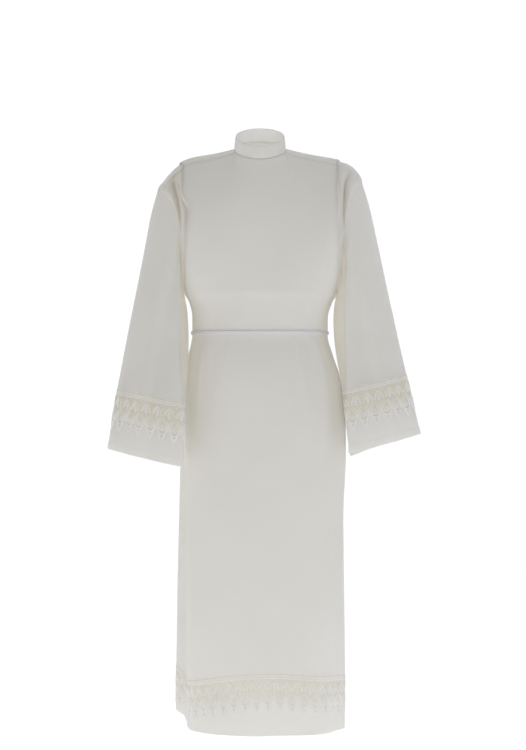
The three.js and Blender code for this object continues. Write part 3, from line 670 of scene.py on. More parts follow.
def top_points(panel, side, places):
    """The line where a panel ends at the top: neckline, then seam or ridge."""
    sign = SHOULDERS[side]["sign"]
    share = np.minimum(places / NECK, 1)
    past = np.clip((places - NECK) / (SIDE - NECK), 0, 1)
    if panel == "front":
        neck, rest = neck_points(sign * SEAM_ANGLE * share), seam_points(side, past)
    else:
        neck = neck_points(sign * (180 - (180 - RIDGE_ANGLE) * share))
        rest = ridge_points(side, past)
    return np.where((places <= NECK)[:, None], neck, rest)


def chest_rows(panel, rows, across):
    """The points of a panel above the armpits. rows are counted in steps of the armhole."""
    count = FRONT_ROWS if panel == "front" else RIDGE_ROWS
    facing = -1 if panel == "front" else 1
    made = np.empty((len(rows), len(across), 3))
    pull, out, into = np.empty((len(across), 3)), np.empty(len(across)), np.empty(len(across))
    centre = top_points(panel, "left", np.array([0.0]))[0]
    halves = (("right", across < 0), ("left", across >= 0))

    def arched(edge, half, centre_y, centre_z):
        return np.stack([edge[0] * out[half], lerp(edge[1], centre_y, into[half]),
                         lerp(edge[2], centre_z, into[half])], axis=-1)

    for side, half in halves:
        places = np.abs(across[half])
        out[half], into[half] = quarter_oval(CHEST[side], CHEST[panel], CHEST_SQUARE, places / SIDE)
        top_edge = armhole_points(side, -facing * count * 360 / STEPS)
        pull[half] = top_points(panel, side, places) - arched(top_edge, half, centre[1], centre[2])
    # Below the seam the cloth rounds off the corner between the neckline and the shoulder.
    near = bump(across[:, None] - across[None, :], ROUND_OFF) * np.gradient(across)
    soft = (near / near.sum(axis=1, keepdims=True)) @ pull
    soft = lerp(soft, pull, smooth(np.abs(across), SIDE - 3 * ROUND_OFF, SIDE)[:, None])
    for i, row in enumerate(rows):
        share = row / count
        for side, half in halves:
            edge = armhole_points(side, -facing * row * 360 / STEPS)
            centre_y = centre[1] + (facing * CHEST[panel] - centre[1]) * (1 - share**CENTRE_SWELL)
            arch = arched(edge, half, centre_y, lerp(ARMPIT, centre[2], share))
            pulled = lerp(soft, pull, share**CORNER_REACH)[half]
            made[i, half] = arch + pulled * share**TOP_PULL
    return made


print("shoulder width at the tips:", 2 * SHOULDERS["left"]["reach"], "mm")
# %% [markdown]
# ## Pleat, folds and seams
# From each shoulder a pleat runs down the front and the back. The middle of the panel lies on
# top, its edge is turned under, and the cloth comes out again below it. A height alone
# can't turn cloth under, so the columns at that edge also slide back under it, and how far
# they slide follows how deep the pleat is: at the waist the cord presses it flat.

# %% The columns of a panel
PLEAT = 17
PLEAT_RISE = [(-900, 0), (-640, 4), (-500, 3), (WAIST - 6, 0), (WAIST + 6, 0), (-405, 3),
              (-300, 8), (-90, 8), (-20, 4), (100, 4)]
PLEAT_DEPTH = 8
MM_A_PLACE = 11.5  # about how wide one place is, near a panel's edge
# Round the pleat's edge: place when flat, place when folded, share of the pleat's height.
TURNED = [
    (16.72, 16.80, 1.0), (16.82, 16.92, 0.995), (16.90, 16.99, 0.97), (16.96, 17.02, 0.92),
    (17.00, 17.02, 0.86), (17.04, 16.97, 0.80), (17.08, 16.86, 0.74), (17.12, 16.70, 0.68),
    (17.16, 16.52, 0.61), (17.20, 16.38, 0.52), (17.24, 16.33, 0.43), (17.28, 16.38, 0.34),
    (17.32, 16.52, 0.26), (17.36, 16.70, 0.19), (17.40, 16.90, 0.13), (17.45, 17.12, 0.08),
    (17.50, 17.36, 0.04), (17.62, 17.60, 0.01),
]
flat_part = [(k, k, smooth(k, 9, PLEAT)) for k in np.arange(0, 16.6, 0.25)]
outer_part = [(k, k, 0) for k in (*np.arange(17.8, 20, 0.2), 20.15, 20.3, 20.45, 20.6, 20.72,
                                  20.82, 20.9, 20.96, SIDE)]
half_columns = np.array(flat_part + TURNED + outer_part)
mirrored = half_columns[:0:-1] * [-1, -1, 1]
FLAT, FOLDED, LIFTED = np.concatenate([mirrored, half_columns]).T
print("columns across a panel:", len(FLAT))

# %% Folds
# Each fold: place across, spread, how far it stands out, then the heights where it starts
# and is full, and where it starts to go again and is gone.
FOREVER = (-3000, -3001)
FRONT_FOLDS = [
    (-14.5, 2.2, 4, -700, -1250, *FOREVER),
    (-1.5, 3.2, 4, -620, -1250, *FOREVER),
    (3.5, 2.6, -4, -760, -1300, *FOREVER),
    (9, 3, 4, -640, -1250, *FOREVER),
    (14.2, 2, -5, -470, -700, *FOREVER),
    (17.2, 1.6, 6, -470, -700, *FOREVER),
    # gathers just under the cord, which spread out and die away
    (-12.6, 0.9, 2.6, -452, -490, -560, -760),
    (-9.8, 0.8, -2.2, -452, -486, -540, -700),
    (-7.4, 0.8, 2.0, -452, -484, -520, -640),
    (8.2, 0.9, 2.4, -452, -488, -550, -730),
    (10.9, 0.8, -2.4, -452, -486, -540, -690),
    (12.8, 0.7, 2.2, -452, -484, -520, -640),
]
BACK_FOLDS = [
    (-15.5, 2.2, 7, -480, -900, *FOREVER),
    (-10.5, 2.4, -8, -470, -800, *FOREVER),
    (-5.5, 2.4, 7, -480, -900, *FOREVER),
    (0, 2.2, -7, -470, -820, *FOREVER),
    (5, 2.3, 8, -490, -1000, *FOREVER),
    (10.5, 2.2, -7, -470, -760, *FOREVER),
    (15.5, 2.2, 6, -480, -940, *FOREVER),
    (-13.2, 0.9, 3.0, -452, -490, -600, -820),
    (-8.3, 0.8, 2.6, -452, -488, -560, -760),
    (-3.1, 0.9, -2.6, -452, -488, -580, -780),
    (2.6, 0.8, 2.8, -452, -486, -560, -740),
    (7.7, 0.9, 3.0, -452, -490, -600, -800),
    (12.9, 0.8, -2.4, -452, -486, -560, -720),
]
# Short gathers above the cord: place, spread, height, and how far up they reach.
ABOVE_CORD = {
    "front": [(-13.4, 0.9, 2.4, 70), (-10.6, 0.8, -1.8, 50), (9.4, 0.8, 2.2, 64),
              (12, 0.9, -2, 52)],
    "back": [(-14, 1, 3, 90), (-10.8, 0.9, -2.2, 60), (-7, 0.9, 2.6, 84), (-2.6, 0.9, 2, 60),
             (1.8, 0.9, -2.2, 64), (5.4, 0.9, 2.6, 90), (9.6, 0.9, -2, 56), (13.4, 1, 2.8, 84)],
}
# Creases that run slantwise from the shoulders, on the front and on the back: spread on the
# side of the centre, spread on the other side, then places along it as (height, place across,
# how far it stands out there).
SLANTING = {
    "front": [
        (0.8, 0.32, [(-52, -18.2, -4), (-66, -18.6, -7), (-84, -19.1, -9), (-125, -19.8, -11),
                     (-165, -20.5, -9), (-215, -20.9, 0)]),
        (0.7, 0.5, [(-66, -19.9, 0), (-90, -20.1, 4), (-130, -20.4, 5), (-165, -20.85, 0)]),
        (0.35, 0.5, [(-120, -18.9, 0), (-160, -18.4, 4), (-250, -18.1, 5), (-330, -18.4, 3),
                     (-400, -18.8, 0)]),
        (0.5, 0.4, [(-40, -18.3, 0), (-100, -18.2, -4), (-180, -17.9, -3), (-300, -17.9, 0)]),
        (0.8, 0.32, [(-48, 19.4, 0), (-80, 19.0, -8), (-125, 19.6, -11), (-170, 20.3, -8),
                     (-215, 20.8, 0)]),
        (0.4, 0.5, [(-70, 17.9, 0), (-95, 18.2, 4), (-135, 19.1, 5), (-200, 19.8, 3),
                    (-260, 20.2, 0)]),
        (0.6, 0.5, [(-56, 20.0, 0), (-84, 20.1, 4), (-120, 20.5, 5), (-150, 20.9, 0)]),
        (0.4, 0.6, [(-150, 18.5, 0), (-220, 18.4, -3), (-300, 18.5, 4), (-360, 19.0, 4),
                    (-420, 19.4, 0)]),
        (2.2, 2.2, [(-60, -12.5, 0), (-170, -13.5, 3), (-300, -13, 3), (-410, -12, 0)]),
        (2.2, 2.2, [(-60, 12.0, 0), (-180, 13, 3), (-320, 12.5, 3), (-410, 11.5, 0)]),
    ],
    "back": [
        (1.0, 0.5, [(-60, -18.8, 0), (-100, -19.0, -7), (-160, -19.8, -8), (-230, -20.7, 0)]),
        (0.7, 0.7, [(-110, -18.9, 0), (-170, -18.3, 5), (-270, -18.2, 6), (-400, -18.9, 0)]),
        (1.0, 0.5, [(-60, 18.8, 0), (-96, 19.1, -7), (-170, 19.9, -8), (-240, 20.7, 0)]),
        (0.7, 0.7, [(-120, 18.9, 0), (-190, 18.4, 5), (-290, 18.3, 6), (-410, 18.9, 0)]),
        (2.4, 2.4, [(-50, -11, 0), (-160, -10, 5), (-300, -9, 6), (-420, -8, 0)]),
        (2.4, 2.4, [(-60, 11.5, 0), (-190, 10.5, 5), (-320, 9.6, 6), (-420, 8.6, 0)]),
        (2.0, 2.0, [(-140, 0.6, 0), (-240, 0.4, -4), (-340, 0.2, -5), (-430, 0, 0)]),
    ],
}


def slanting(panel, place, height, narrow=None):
    """The rise of the creases that run slantwise, or of a narrow line down the middle of each."""
    rise = np.zeros_like(height)
    for inner, outer, run in SLANTING[panel]:
        heights, across, deep = np.array(run[::-1], float).T
        beside = place - through(heights, across, height)
        within = (height > heights[0]) & (height < heights[-1])
        spread = narrow or np.where(beside * across[0] < 0, inner, outer)
        rise += np.where(within, through(heights, deep, height), 0) * bump(beside, spread)
    return rise


def unevenness(across, height, strength):
    """The slow, shallow unevenness of cloth that has been ironed and hung."""
    waves = ((0.021, 0.0093, 0.4), (-0.033, 0.0061, 2.1), (0.047, -0.0117, 4.0),
             (0.012, 0.0191, 1.2))
    return strength * sum(np.sin(a * across + b * height + c) for a, b, c in waves) / len(waves)


def panel_rise(panel, points, welt):
    """How far each point of a panel stands out from its plain form."""
    height, place = points[..., 2], np.broadcast_to(FLAT, points.shape[:2])
    pleat = through(*np.array(PLEAT_RISE).T, height)
    rise = pleat * LIFTED
    for across, wide, deep, start, full, going, gone in (
        FRONT_FOLDS if panel == "front" else BACK_FOLDS
    ):
        grown = smooth(-height, -start, -full) * (1 - smooth(-height, -going, -gone))
        rise = rise + deep * grown * bump(place - across, wide)
    for across, wide, deep, reach in ABOVE_CORD[panel]:
        grown = smooth(height, WAIST + 6, WAIST + 22)
        grown = grown * (1 - smooth(height, WAIST + 26, WAIST + reach))
        rise = rise + deep * grown * bump(place - across, wide)
    from_seam = np.arange(len(points))[::-1, None] - (FINE if panel == "back" else 0)
    rise = rise + slanting(panel, place, height) * smooth(from_seam, 0, 3)
    from_cord = 1 - bump(height - WAIST, 30)
    rise = rise + unevenness(place * 11, height, 0.9) * from_cord * (np.abs(place) < 16.6)
    to_side = (SIDE - np.abs(place)) * MM_A_PLACE
    rise = rise * smooth(to_side, 0, 12)
    return rise + welt * 1.5 * lerp(0.5, 1, smooth(to_side, 0, 1.2)) * (1 - smooth(to_side, 5.5, 8))


# %% [markdown]
# ## The two panels
# The rows run from the hem to the armpits and on, in sixths of an armhole step, so every third
# degree of the armhole has a point of the panel and a point of the sleeve. The back has
# six more rows: it reaches over the shoulder to the seam in front of it.

# %% Panel grids
FINE = 6
SWING = [(-420, 0), (-200, 4), (-154, 7), (-112, -9), (-87, -5), (-57, -1), (0, 0), (60, 0)]
hem_rows = HEM + np.array([0, 1.2, 3, 6, 10, 15, 19, 20.4, 22, 25])
HEIGHTS = np.r_[hem_rows, np.arange(HEM + 32, WAIST - 60, 8), np.arange(WAIST - 56, WAIST + 60, 4),
                np.arange(WAIST + 63, ARMPIT - 2, 6.5)]


def over_shoulder(back_end, places):
    """The back's last rows, from the ridge to the seam, as a curve that leaves both smoothly."""
    front_end = chest_rows("front", np.array([FRONT_ROWS - 1 / FINE, FRONT_ROWS]), places)
    ridge, seam = back_end[1].copy(), front_end[1].copy()
    leave, arrive = unit(back_end[1] - back_end[0]), unit(front_end[0] - front_end[1])
    for side, half in (("right", places < 0), ("left", places >= 0)):
        at_neck = np.flatnonzero(half)[np.argmin(np.abs(np.abs(places[half]) - NECK))]
        inside = half & (np.abs(places) < NECK)
        for line in (ridge, seam, leave, arrive):
            line[inside] = line[at_neck]
    past = np.clip((np.abs(places) - NECK) / (SIDE - NECK), 0, 1)[:, None]
    free = smooth(1 - past, 0, 0.2)
    curved = np.linalg.norm(seam - ridge, axis=-1, keepdims=True) * free
    rows = []
    for s in np.arange(1, FINE + 1) / FINE:
        bend = (s * (1 - s) ** 2 * leave - s * s * (1 - s) * arrive) * curved
        rows.append(lerp(ridge, seam, lerp(s, smooth(s, 0, 1), free)) + bend)
    return np.array(rows)


def panel_cloth(panel):
    count = FRONT_ROWS if panel == "front" else RIDGE_ROWS
    chest = np.arange(0, count * FINE + 1) / FINE

    def build(places):
        parts = [ring_rows(panel, HEIGHTS, places), chest_rows(panel, chest, places)]
        if panel == "back":
            parts.append(over_shoulder(parts[1][-2:], places))
        return np.concatenate(parts)

    flat, folded = build(FLAT), build(FOLDED)
    pleat = through(*np.array(PLEAT_RISE).T, flat[..., 2]) / PLEAT_DEPTH
    facing = 1 if panel == "front" else -1
    cloth = Cloth(flat, facing=facing)
    normals = cloth.normals()
    cloth.points = lerp(flat, folded, np.clip(pleat, 0, 1)[..., None])
    if panel == "front":  # the pleat at the wearer's right swings out, then in under the arm
        heights, swing = np.array(SWING, float).T
        cloth.points[..., 0] += through(heights, swing, flat[..., 2]) * bump(FLAT + PLEAT, 1.3)
    return cloth, normals


panels = {name: panel_cloth(name) for name in ("front", "back")}
print({name: cloth.points.shape[:2] for name, (cloth, _) in panels.items()})

# %% Lift the folds
# What each of these adds to the painted light: below 0 it is painted shade, above 0 a painted glow.
CREASE_SHADE = 1 / 8  # for each millimetre that a crease goes in
SHADE_UNDER_PLEAT = -0.8
GLOW_BESIDE_ARMHOLE, SHADE_AT_ARMHOLE_STITCHES = 0.25, -0.3
GLOW_OVER_SHOULDER = 0.3
# At the shoulder seam both panels must be lifted the same way, or the pleat would tear there.
# The last rows of each take on the mean of the two normals.
front_cloth, front_normals = panels["front"]
back_cloth, back_normals = panels["back"]
shared = unit(front_normals[-1] + back_normals[-1])
for k in range(6):
    weight = 1 - k / 6
    for normals in (front_normals, back_normals):
        normals[-1 - k] = unit(lerp(normals[-1 - k], shared, weight))

for panel, (cloth, normals) in panels.items():
    rows = np.arange(len(cloth.points))
    above = np.clip((rows - len(HEIGHTS)) / (2 * FINE), 0, 1)
    welt = np.broadcast_to(above[:, None], cloth.points.shape[:2])
    rise = panel_rise(panel, cloth.points, welt)
    # the seams lie a little deeper than the cloth beside them
    beside_seam = 1 - smooth((SIDE - np.abs(FLAT)) * MM_A_PLACE, 0, 5)
    side_groove = 0.5 * beside_seam * (above[:, None] <= 0)
    top_groove = 0.12 * (1 - smooth((len(rows) - 1 - rows) * 1.2, 0, 2.6))[:, None]
    cloth.lift(rise - side_groove - top_groove * (np.abs(FLAT) >= NECK), normals)
    z, place = cloth.points[..., 2], np.broadcast_to(FLAT, cloth.points.shape[:2])
    # painted glow in the strips beside the arms, past the pleat's edge: more light comes through,
    # creamier
    beside_arm = smooth(z, ARMPIT - 30, ARMPIT + 20) * (1 - smooth(z, -345, -170))
    cloth.single = beside_arm * smooth(np.abs(place), PLEAT, PLEAT + 0.8)
    # painted shade in a crease, under a pleat and along a row of stitches: browner, with less light
    # coming through
    cloth.single += np.minimum(slanting(panel, place, z, 0.22), 0) * CREASE_SHADE
    under = bump(np.abs(place) - 17.25, 0.2) * smooth(z, -420, -300)
    cloth.single += SHADE_UNDER_PLEAT * under
    to_side = (SIDE - np.abs(place)) * MM_A_PLACE
    # painted glow on the band beside the armhole seam, and painted shade along its row of stitches
    band = GLOW_BESIDE_ARMHOLE * (1 - smooth(to_side, 4.5, 5.5))
    cloth.single += welt * (band + SHADE_AT_ARMHOLE_STITCHES * bump(to_side - 7, 1.2))
    # painted glow on the back's rows that reach over the shoulder
    if panel == "back":
        cloth.single[-FINE:-1] += GLOW_OVER_SHOULDER
    cloth.single = np.clip(cloth.single, -1, 1)

everywhere = np.ones(len(FLAT), bool)  # but the rows over the shoulder stop at the neckline
reach = [np.abs(FLAT) >= NECK - 1e-6 if row >= len(back_cloth.points) - FINE else everywhere
         for row in range(len(back_cloth.points))]
front_panel = add_cloth("front_panel_cloth", front_cloth, ROBE_CLOTH, wall=1.2)
back_panel = add_cloth("back_panel_cloth", back_cloth, ROBE_CLOTH, wall=1.2, keep=np.array(reach))
for made, panel in ((front_panel, "front"), (back_panel, "back")):
    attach(made, "root")
    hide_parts(f"{panel}_bodice", f"{panel}_skirt")
for name, (cloth, _) in panels.items():
    print(name, "panel:", round(cloth_area(cloth), 3), "m2 of hung cloth")

# %% [markdown]
# ## The sleeves
# Each sleeve is a tube whose rings turn from the armhole to the cuff. The table gives the outer
# and the inner end of each ring, how far each swings forward with the arm, and the half
# thickness. The sleeve is wide and nearly empty, so its front falls into a sharp edge on
# the inner side, and the back layer shows behind that edge, lit through from behind. That
# cloth, and the back of the sleeve near the underarm, also get a painted glow: more light
# comes through and they look creamier.

# %% The rings of the sleeves
SLEEVES = {
    # outer x and z, inner x and z, outer y, inner y, half thickness
    "left": [
        (250, -80, 188, ARMPIT, 0, 0, 72), (270, -147, 185, -362, -3, -3, 71.5),
        (284, -213, 181, -388, -7, -7, 70), (298, -280, 179, -420, -11, -13, 67.5),
        (312, -347, 180, -456, -16, -21, 65), (326, -413, 184, -497, -21, -33, 61.5),
        (340, -480, 191, -540, -26, -47, 58), (355, -547, 198, -587, -31, -61, 54),
        (373, -620, 207, -663, -35, -76, 49.5), (391, -693, 216, -739, -40, -82, 46),
    ],
    "right": [
        (250, -97, 187, ARMPIT, 0, 0, 72), (268, -166, 183, -364, -4, -5, 71),
        (281, -236, 177, -394, -9, -13, 69), (294, -305, 174, -431, -15, -29, 66.5),
        (307, -375, 172.5, -474, -21, -50, 63), (320, -444, 173, -520, -27, -73, 58.5),
        (333, -514, 175, -568, -33, -95, 54), (346, -583, 180, -617, -39, -109, 50),
        (358, -656, 182, -694, -44, -118, 46.5), (369, -729, 186, -770, -48, -120, 44),
    ],
}
SLEEVE_SQUARE = 2.25
# Folds along a sleeve: angle round it, spread towards the armpit, spread away from it, how
# far it stands out, and the rows where it starts and is full.
SLEEVE_FOLDS = {
    "left": [(86, 8, 9, -3, 0.4, 3), (104, 12, 16, 4, 0.2, 3),
             (122, 18, 16, -6, 0.8, 5), (148, 9, 10, 3, 1, 5), (205, 12, 12, 4, 2, 5),
             (238, 20, 20, -7, 1, 5), (290, 22, 22, 6, 1, 5), (318, 9, 9, -4, 1, 4)],
    "right": [(86, 8, 9, -3, 0.4, 3), (106, 13, 16, 4, 0.2, 3),
              (128, 18, 16, -6, 0.8, 5), (152, 9, 10, 3, 1.5, 5), (205, 12, 12, 4, 2, 5),
              (236, 20, 20, -7, 1, 5), (290, 22, 22, 6, 1, 5), (320, 9, 9, -4, 1, 4)],
}
# The front's edge on the inner side: its angle at each row, and how far it stands out. It
# hangs over a little towards the body, so the cloth behind it starts at a clear line.
FRONT_EDGE = {
    "left": {"angles": [84, 81, 70, 63, 58, 51, 44, 34, 20, 15], "high": 12},
    "right": {"angles": [76, 72, 63, 59, 53, 47, 38, 24, 15, 12], "high": 12},
}
EDGE_INNER, EDGE_OUTER, EDGE_OVER = 3, 20, 0.5
BACK_HANGS_LOWER = {"left": 9, "right": 0}  # at the inner end of the cuff
# Dents where the cloth meets the arm or hangs over: angle, row, their spreads, height.
SLEEVE_DENTS = {
    "left": [(70, 7.9, 14, 0.35, -2.6), (120, 6.3, 20, 0.5, 2.0), (82, 4.2, 18, 0.7, -2.2),
             (150, 8.7, 16, 0.3, -2.4), (60, 2.4, 14, 0.6, 2.4), (128, 1.2, 16, 0.5, -2.0)],
    "right": [(112, 6.6, 20, 0.5, 2.0), (76, 4.6, 18, 0.7, -2.0), (134, 8.6, 18, 0.3, 2.0),
              (58, 2.6, 14, 0.6, 2.2), (126, 1.3, 16, 0.5, -2.0)],
}
CUFF_ROW = 9
SLEEVE_AT = np.r_[0, 0.012, 0.03, 0.05, 0.07, 0.085, 0.1, 0.115, 0.13, 0.16, 0.2, 0.26, 0.33,
                  np.arange(0.4, 8.55, 0.1), 8.6, 8.66, 8.7, 8.73, 8.76, 8.8, 8.86, 8.92, 8.96,
                  8.98, 8.993, CUFF_ROW]
TURN_UP = 8.73  # the row of stitches that holds the cuff's turned-up hem


def stitched_edge(rows):
    """A turned-up hem stands out a little, as far as its row of stitches."""
    row_of_stitches = 0.7 * bump(rows - TURN_UP, 0.02)
    edge = 0.6 * smooth(rows, TURN_UP, TURN_UP + 0.05) - 1.0 * smooth(rows, 8.985, CUFF_ROW)
    return edge - row_of_stitches


def sleeve_cloth(side):
    sign = SHOULDERS[side]["sign"]
    rings = np.array(SLEEVES[side], float)
    angles = np.arange(0, 360, 3.0)
    a = np.radians(angles)
    power = 2 / SLEEVE_SQUARE
    share = (1 - np.sign(np.cos(a)) * np.abs(np.cos(a)) ** power) / 2
    over = np.sign(np.sin(a)) * np.abs(np.sin(a)) ** power

    def ring(row, rise, over_hang=0):
        ox, oz, ix, iz, oy, iy, depth = (
            through(np.arange(len(rings)), rings[:, i], row) for i in range(7)
        )
        return np.stack([sign * (lerp(ix, ox, share) - over_hang),
                         lerp(iy, oy, share) - (depth + rise) * over,
                         lerp(iz, oz, share)], axis=-1)

    to_armhole = armhole_points(side, angles) - ring(0.0, 0)
    points, single = [], []
    for row in SLEEVE_AT:
        from_edge = angles - through(np.arange(len(rings)), FRONT_EDGE[side]["angles"], row)
        wide = np.where(from_edge < 0, EDGE_INNER, EDGE_OUTER)
        rise = FRONT_EDGE[side]["high"] * smooth(row, 0, 1.2) * bump(from_edge, wide)
        over_hang = EDGE_OVER * rise * smooth(from_edge, -EDGE_INNER, 0)
        # painted glow between the front edge and the inner side, and on the back near the inner
        # side, from the armhole to above the cuff lace
        inside = np.where(angles > 180, 1 - smooth(360 - angles, 40, 60), smooth(-from_edge, 0, 3))
        single.append(inside * smooth(row, -0.5, 1.5) * (1 - smooth(row, 6.4, 7.6)))
        for angle, inner, outer, deep, start, full in SLEEVE_FOLDS[side]:
            turned = (angles - angle + 540) % 360 - 180
            wide = np.where(turned < 0, inner, outer)
            rise = rise + deep * smooth(row, start, full) * bump(turned, wide)
        points.append(ring(row, rise, over_hang) + to_armhole * (1 - row / CUFF_ROW) ** 3)
        lower = BACK_HANGS_LOWER[side] * smooth(row, 6, CUFF_ROW) * (angles > 180)
        points[-1][:, 2] -= lower * (1 - share) * smooth(-over, 0, 0.4)
    cloth = Cloth(np.array(points), closed=True, facing=-sign)
    cloth.single = np.array(single)
    rows = np.broadcast_to(SLEEVE_AT[:, None], cloth.points.shape[:2])
    rise = unevenness(cloth.points[..., 0], cloth.points[..., 2], 0.9) * smooth(rows, 0.2, 1.4)
    for angle, row, wide, tall, deep in SLEEVE_DENTS[side]:
        turned = (angles - angle + 540) % 360 - 180
        rise = rise + deep * bump(turned, wide) * bump(rows - row, tall)
    cloth.lift(rise + stitched_edge(rows))
    return cloth


sleeves = {side: sleeve_cloth(side) for side in ("left", "right")}
for side, cloth in sleeves.items():
    made = add_cloth(f"{side}_sleeve_cloth", cloth, ROBE_CLOTH, wall=1.2)
    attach(made, "root")
    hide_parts(f"{side}_upper_sleeve", f"{side}_lower_sleeve", f"{side}_cuff")
    girth = np.linalg.norm(np.diff(cloth.points[-1], axis=0), axis=1).sum()
    print(side, "sleeve:", round(cloth_area(cloth), 3), "m2, round the cuff", round(girth), "mm")

# %% [markdown]
# ## The collar
# The stand collar is a band of two layers, folded at its top edge. The fold makes that edge
# round and a little thicker, and the band leans in towards the neck.

# %% Collar
COLLAR = {"height": 32, "back_rise": 2, "lean": 0.95}
COLLAR_AT = (0, 0.02, 0.05, 0.1, 0.18, 0.3, 0.45, 0.6, 0.75, 0.87, 0.94, 0.975, 1.0)


def collar_cloth():
    angles = np.arange(0, 360, 2.0)
    angles = np.where(angles > 180, angles - 360, angles)
    low = neck_points(angles)
    behind = (1 - np.cos(np.radians(angles))) / 2
    rows = []
    for share in COLLAR_AT:
        lean = lerp(1, COLLAR["lean"], share)
        x, y = low[:, 0] * lean, NECKLINE["centre"] + (low[:, 1] - NECKLINE["centre"]) * lean
        tall = COLLAR["height"] + COLLAR["back_rise"] * behind
        rows.append(np.stack([x, y, low[:, 2] + tall * share], axis=-1))
    cloth = Cloth(np.array(rows), closed=True)
    share = np.array(COLLAR_AT)[:, None]
    soft = 0.5 * np.sin(np.radians(angles) * 5 + 1) * np.sin(np.pi * share)
    rounded = -1.1 * smooth(share, 0.93, 1.0) - 0.7 * (1 - smooth(share, 0, 0.06))
    cloth.lift(np.sin(np.pi * share) * 0.8 + soft + rounded)
    return cloth


collar_band = collar_cloth()
collar = add_cloth("collar_band", collar_band, ROBE_CLOTH, wall=2.2)
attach(collar, "root")
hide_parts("collar")
print("collar:", len(collar.data.polygons), "faces")

# %% [markdown]
# ## The lace
# The lace is a band of net with raised cords. Lines that cross and part again make a row of
# pointed arches with a bud in each, and a row of long drops between and below them. A round
# cord runs under each drop, and a small point with picots hangs from it. One repeat is drawn as
# lines, in millimetres along the band and down from its top edge, from the middle of one drop
# to the middle of the next. Every line is then laid on the cloth as a low cord: two rows of
# points lie on the net and two stand a millimetre above it. It costs few faces, and it
# follows each fold of the robe.

# %% One repeat of the lace
REPEAT, DRAWN = 28, 105  # its width, and its height from the top edge to the points
# The tones of a cord: ivory thread, straw yellow thread, and tan, which is painted shade.
WHITE, MIXED, LACE_SHADE = 0.0, 0.5, 1.0  # the three threads: ivory, straw yellow, and tan


def soften(corners, steps=5):
    """A smooth line through a few drawn places."""
    p = np.array(corners, float)
    p = np.vstack([2 * p[0] - p[1], p, 2 * p[-1] - p[-2]])
    made = []
    for a, b, c, d in zip(p[:-3], p[1:-2], p[2:-1], p[3:]):
        for t in np.arange(steps) / steps:
            made.append(0.5 * (2 * b + (c - a) * t + (2 * a - 5 * b + 4 * c - d) * t**2
                               + (3 * b - a - 3 * c + d) * t**3))
    return np.array(made + [p[-2]])


def mirror(line):
    return line * [-1, 1]


def ring_line(x, y, wide, tall, steps=6):
    turn = np.linspace(0, 2 * np.pi, steps + 1)
    return np.stack([x + wide * np.cos(turn), y + tall * np.sin(turn)], axis=-1)


half = REPEAT / 2
border = [np.array([(x, y) for x in np.linspace(-half, half, 9)]) for y in (1.2, 6.4, 14.2)]
eyelets = [ring_line(x, 3.8, 0.9, 0.8) for x in np.arange(-12.25, half, 3.5)]
small_arches = [soften([(x - 3.3, 13.4), (x - 2.6, 9.8), (x, 7.6), (x + 2.6, 9.8),
                        (x + 3.3, 13.4)], 3)
                for x in (-10.5, -3.5, 3.5, 10.5)]
arch = soften([(0, 19.5), (4.2, 23.2), (8.4, 29), (11.6, 36.6), (half, 46)])
inner_arch = soften([(0, 25.6), (3.6, 29), (6.8, 34), (9.2, 40), (11, 46.6)])
lozenge = soften([(12.4, 47.6), (8.2, 51), (4.2, 56.6), (1.2, 63), (0, 70)])
petal = soften([(0, 50), (-2.2, 42), (0, 33), (2.2, 42), (0, 50)])
side_petal = soften([(0.8, 51), (4.4, 48), (7, 41), (3.8, 44), (0.8, 51)])
drop = soften([(half, 46), (10.2, 51), (5.8, 59), (3.4, 67), (3.6, 75), (6.2, 82), (10.4, 87),
               (half, 88.5)])
inner_drop = soften([(half, 53.5), (11, 57.5), (7.8, 63.5), (6.8, 70), (8.4, 76.5), (11.4, 80.4),
                     (half, 81.6)])
# a low flat line in tan: painted shadow in the gap between the drop's inner cord and its outer one
painted_shadow_under_drop = soften([(7.6, 79.8), (10.4, 83.6), (half, 85)])
stem = soften([(0, 65), (0.4, 70), (0, 78)])
leaf = soften([(0.2, 76), (2, 73.6), (2.6, 69), (1.2, 71.6), (0.2, 76)])
bridge = soften([(4.6, 80.4), (2.4, 78.6), (0, 78)])
point = soften([(5.6, 83.6), (7.6, 89), (10.4, 96.4), (half, 105)])
inner_point = soften([(9.2, 90), (11.2, 94.8), (half, 99.6)])
picots = [ring_line(x, y, 0.9, 0.9) for x, y in ((6.9, 91.4), (9, 97), (11.3, 101.8))]
# Each line that has a twin on the other side: its places, width, height, and its tone at its
# start and at its end, from ivory thread through straw thread to tan painted shade.
TWINS = [
    (arch, 2.5, 1.2, MIXED, MIXED), (inner_arch, 1.9, 1.1, WHITE, WHITE),
    (lozenge, 1.7, 0.9, MIXED, WHITE), (side_petal, 1.5, 0.8, LACE_SHADE, WHITE),
    (drop, 2.5, 1.3, MIXED, WHITE), (inner_drop, 2.1, 1.2, 0.3, WHITE),
    (painted_shadow_under_drop, 1.9, 0.3, 0.7, LACE_SHADE), (leaf, 1.3, 0.8, WHITE, WHITE),
    (bridge, 2.0, 1.0, WHITE, WHITE), (point, 2.2, 1.1, WHITE, WHITE),
    (inner_point, 1.5, 0.8, 0.25, 0.25),
] + [(ring, 1.4, 0.9, WHITE, WHITE) for ring in picots]
MOTIF = TWINS + [(mirror(line), *rest) for line, *rest in TWINS]
MOTIF += [(line, 2.2, 0.45, WHITE, WHITE) for line in border]
MOTIF += [(line, 1.4, 0.9, 0.2, 0.2) for line in small_arches]
# the eyelets are mostly tan: painted shade for the holes they ring
MOTIF += [(line, 1.4, 0.4, 0.8, 0.8) for line in eyelets]
MOTIF += [(petal, 1.6, 0.9, WHITE, WHITE), (stem, 1.6, 0.9, 0.3, 0.3)]
